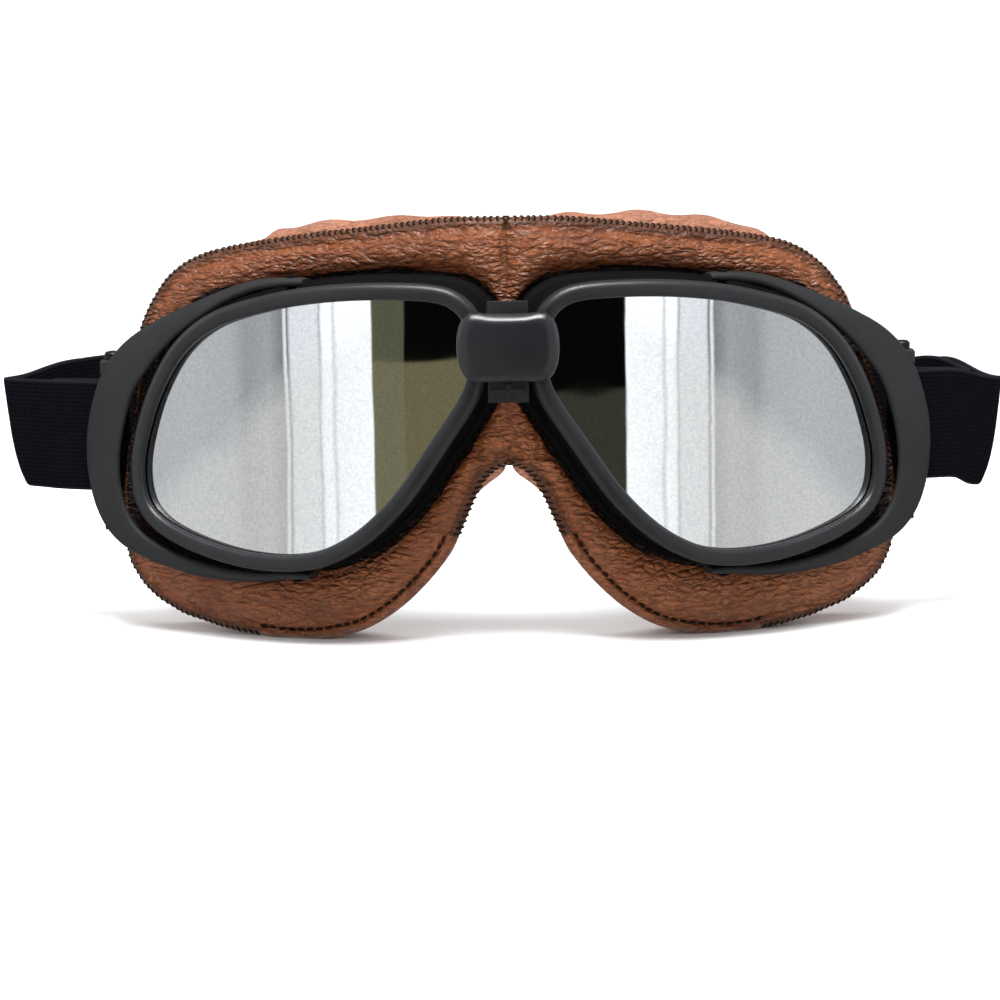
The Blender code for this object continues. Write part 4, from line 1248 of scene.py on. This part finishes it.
def reflection_wall():
    """A wall only reflections see: dark by the camera, a white strip, then grey cloth."""
    mesh = Mesh()
    bearings = np.linspace(-100, 100, 101)
    radius = 3.0
    rows = []
    for height in (-2.6, 0.0, 2.6):
        rows.append([(radius * math.sin(math.radians(b)), -radius * math.cos(math.radians(b)), height)
                     for b in bearings])
    mesh.grid(np.array(rows))
    look = Look("tent_wall")
    look.tree.nodes.clear()
    where = look.node("TexCoord", output="Object")
    x = look.node("SeparateXYZ", {0: where}, output=0)
    y = look.node("SeparateXYZ", {0: where}, output=1)
    left = look.math("LESS_THAN", x, 0.0)
    turn = look.math("ARCTAN2", look.math("ABSOLUTE", x), look.math("MULTIPLY", y, -1.0))
    bearing = look.math("DIVIDE", turn, math.radians(90))
    bearing = look.math("SUBTRACT", bearing, look.math("MULTIPLY", left, LEFT_TURN / 90))
    ripple = look.noise(look.node("Mapping", {"Vector": where, "Scale": (0.4, 0.4, 3.0)}), 4.0, 3.0)
    height = look.node("SeparateXYZ", {0: where}, output=2)
    wavy = look.math("ADD", bearing, look.math("MULTIPLY", look.math("SUBTRACT", ripple, 0.5), 0.010))
    color = look.ramp(wavy, *[(b / 90, (v * 0.97, v, v * 1.03)) for b, v in REFLECTED])
    slope = look.math("ADD", height, look.math("MULTIPLY", bearing, 0.5))
    color = look.mix(look.span(slope, 0.06, 0.0, 0.0, 0.5), color, (0.82, 0.80, 0.76))
    split = look.math("SUBTRACT", height, look.math("MULTIPLY", left, 0.046))
    split = look.math("SUBTRACT", split, look.math("MULTIPLY", look.math("SUBTRACT", bearing, 0.2), 0.05))
    dark = look.mix(look.span(split, -0.248, -0.243, 1.0, 0.0), (0.002, 0.002, 0.002),
                    look.mix(left, (0.042, 0.040, 0.030), (0.16, 0.14, 0.078)))
    dark = look.mix(look.math("MULTIPLY", look.span(bearing, 0.25, 0.253, 0.0, 0.5), left), dark,
                    (0.20, 0.20, 0.125))
    color = look.mix(look.span(bearing, 0.316, 0.319, 0.0, 1.0), dark, color)
    shade = look.node("Emission", {"Color": color, "Strength": 1.0})
    output = look.tree.nodes.new("ShaderNodeOutputMaterial")
    look.tree.links.new(shade, output.inputs[0])
    wall = mesh.build("tent", look.material)
    for ray in ("camera", "diffuse", "transmission", "shadow", "volume_scatter"):
        setattr(wall, "visible_" + ray, False)


def area_light(name, where, aim, size, power, color=(1, 1, 1), glossy=True):
    light = bpy.data.lights.new(name, "AREA")
    light.shape = "RECTANGLE"
    light.size, light.size_y = size
    light.energy = power
    light.color = color
    obj = bpy.data.objects.new(name, light)
    obj.location = where
    obj.rotation_euler = (Vector(aim) - Vector(where)).to_track_quat("-Z", "Y").to_euler()
    obj.visible_glossy = glossy
    bpy.context.scene.collection.objects.link(obj)


def studio():
    world = bpy.data.worlds.new("studio")
    world.use_nodes = True
    background = world.node_tree.nodes["Background"]
    background.inputs[0].default_value = (1.0, 1.0, 1.0, 1.0)
    background.inputs[1].default_value = 0.45
    bpy.context.scene.world = world
    bpy.context.scene.view_settings.view_transform = "Standard"
    aim = (0, -0.02, 0.04)
    area_light("overhead", (0.0, -0.38, 0.85), aim, (0.45, 0.3), 16.0)
    area_light("front", (-0.35, -1.1, 0.55), aim, (0.7, 0.5), 3.5, glossy=False)
    area_light("rim_left", (-0.9, 0.1, 0.4), aim, (0.5, 0.7), 1.3)
    area_light("rim_right", (0.9, 0.1, 0.4), aim, (0.5, 0.7), 1.3)
    area_light("backdrop", (0.0, 0.6, 1.3), (0, 1.6, 0.2), (2.2, 0.6), 22.0, glossy=False)


def camera():
    data = bpy.data.cameras.new("camera")
    data.sensor_width = 36.0
    data.lens = 36.0 * 2.79
    obj = bpy.data.objects.new("camera", data)
    elevation = math.radians(8)
    forward = Vector((0.0, math.cos(elevation), -math.sin(elevation)))
    target = Vector((-0.0021, SHIFT_Y * MM, 0.0325))
    obj.location = target - forward * 0.6
    turn = forward.to_track_quat("-Z", "Y").to_matrix() @ Matrix.Rotation(math.radians(-0.8), 3, "Z")
    obj.rotation_euler = turn.to_euler()
    bpy.context.scene.collection.objects.link(obj)
    bpy.context.scene.camera = obj


stage_floor()
reflection_wall()
studio()
camera()
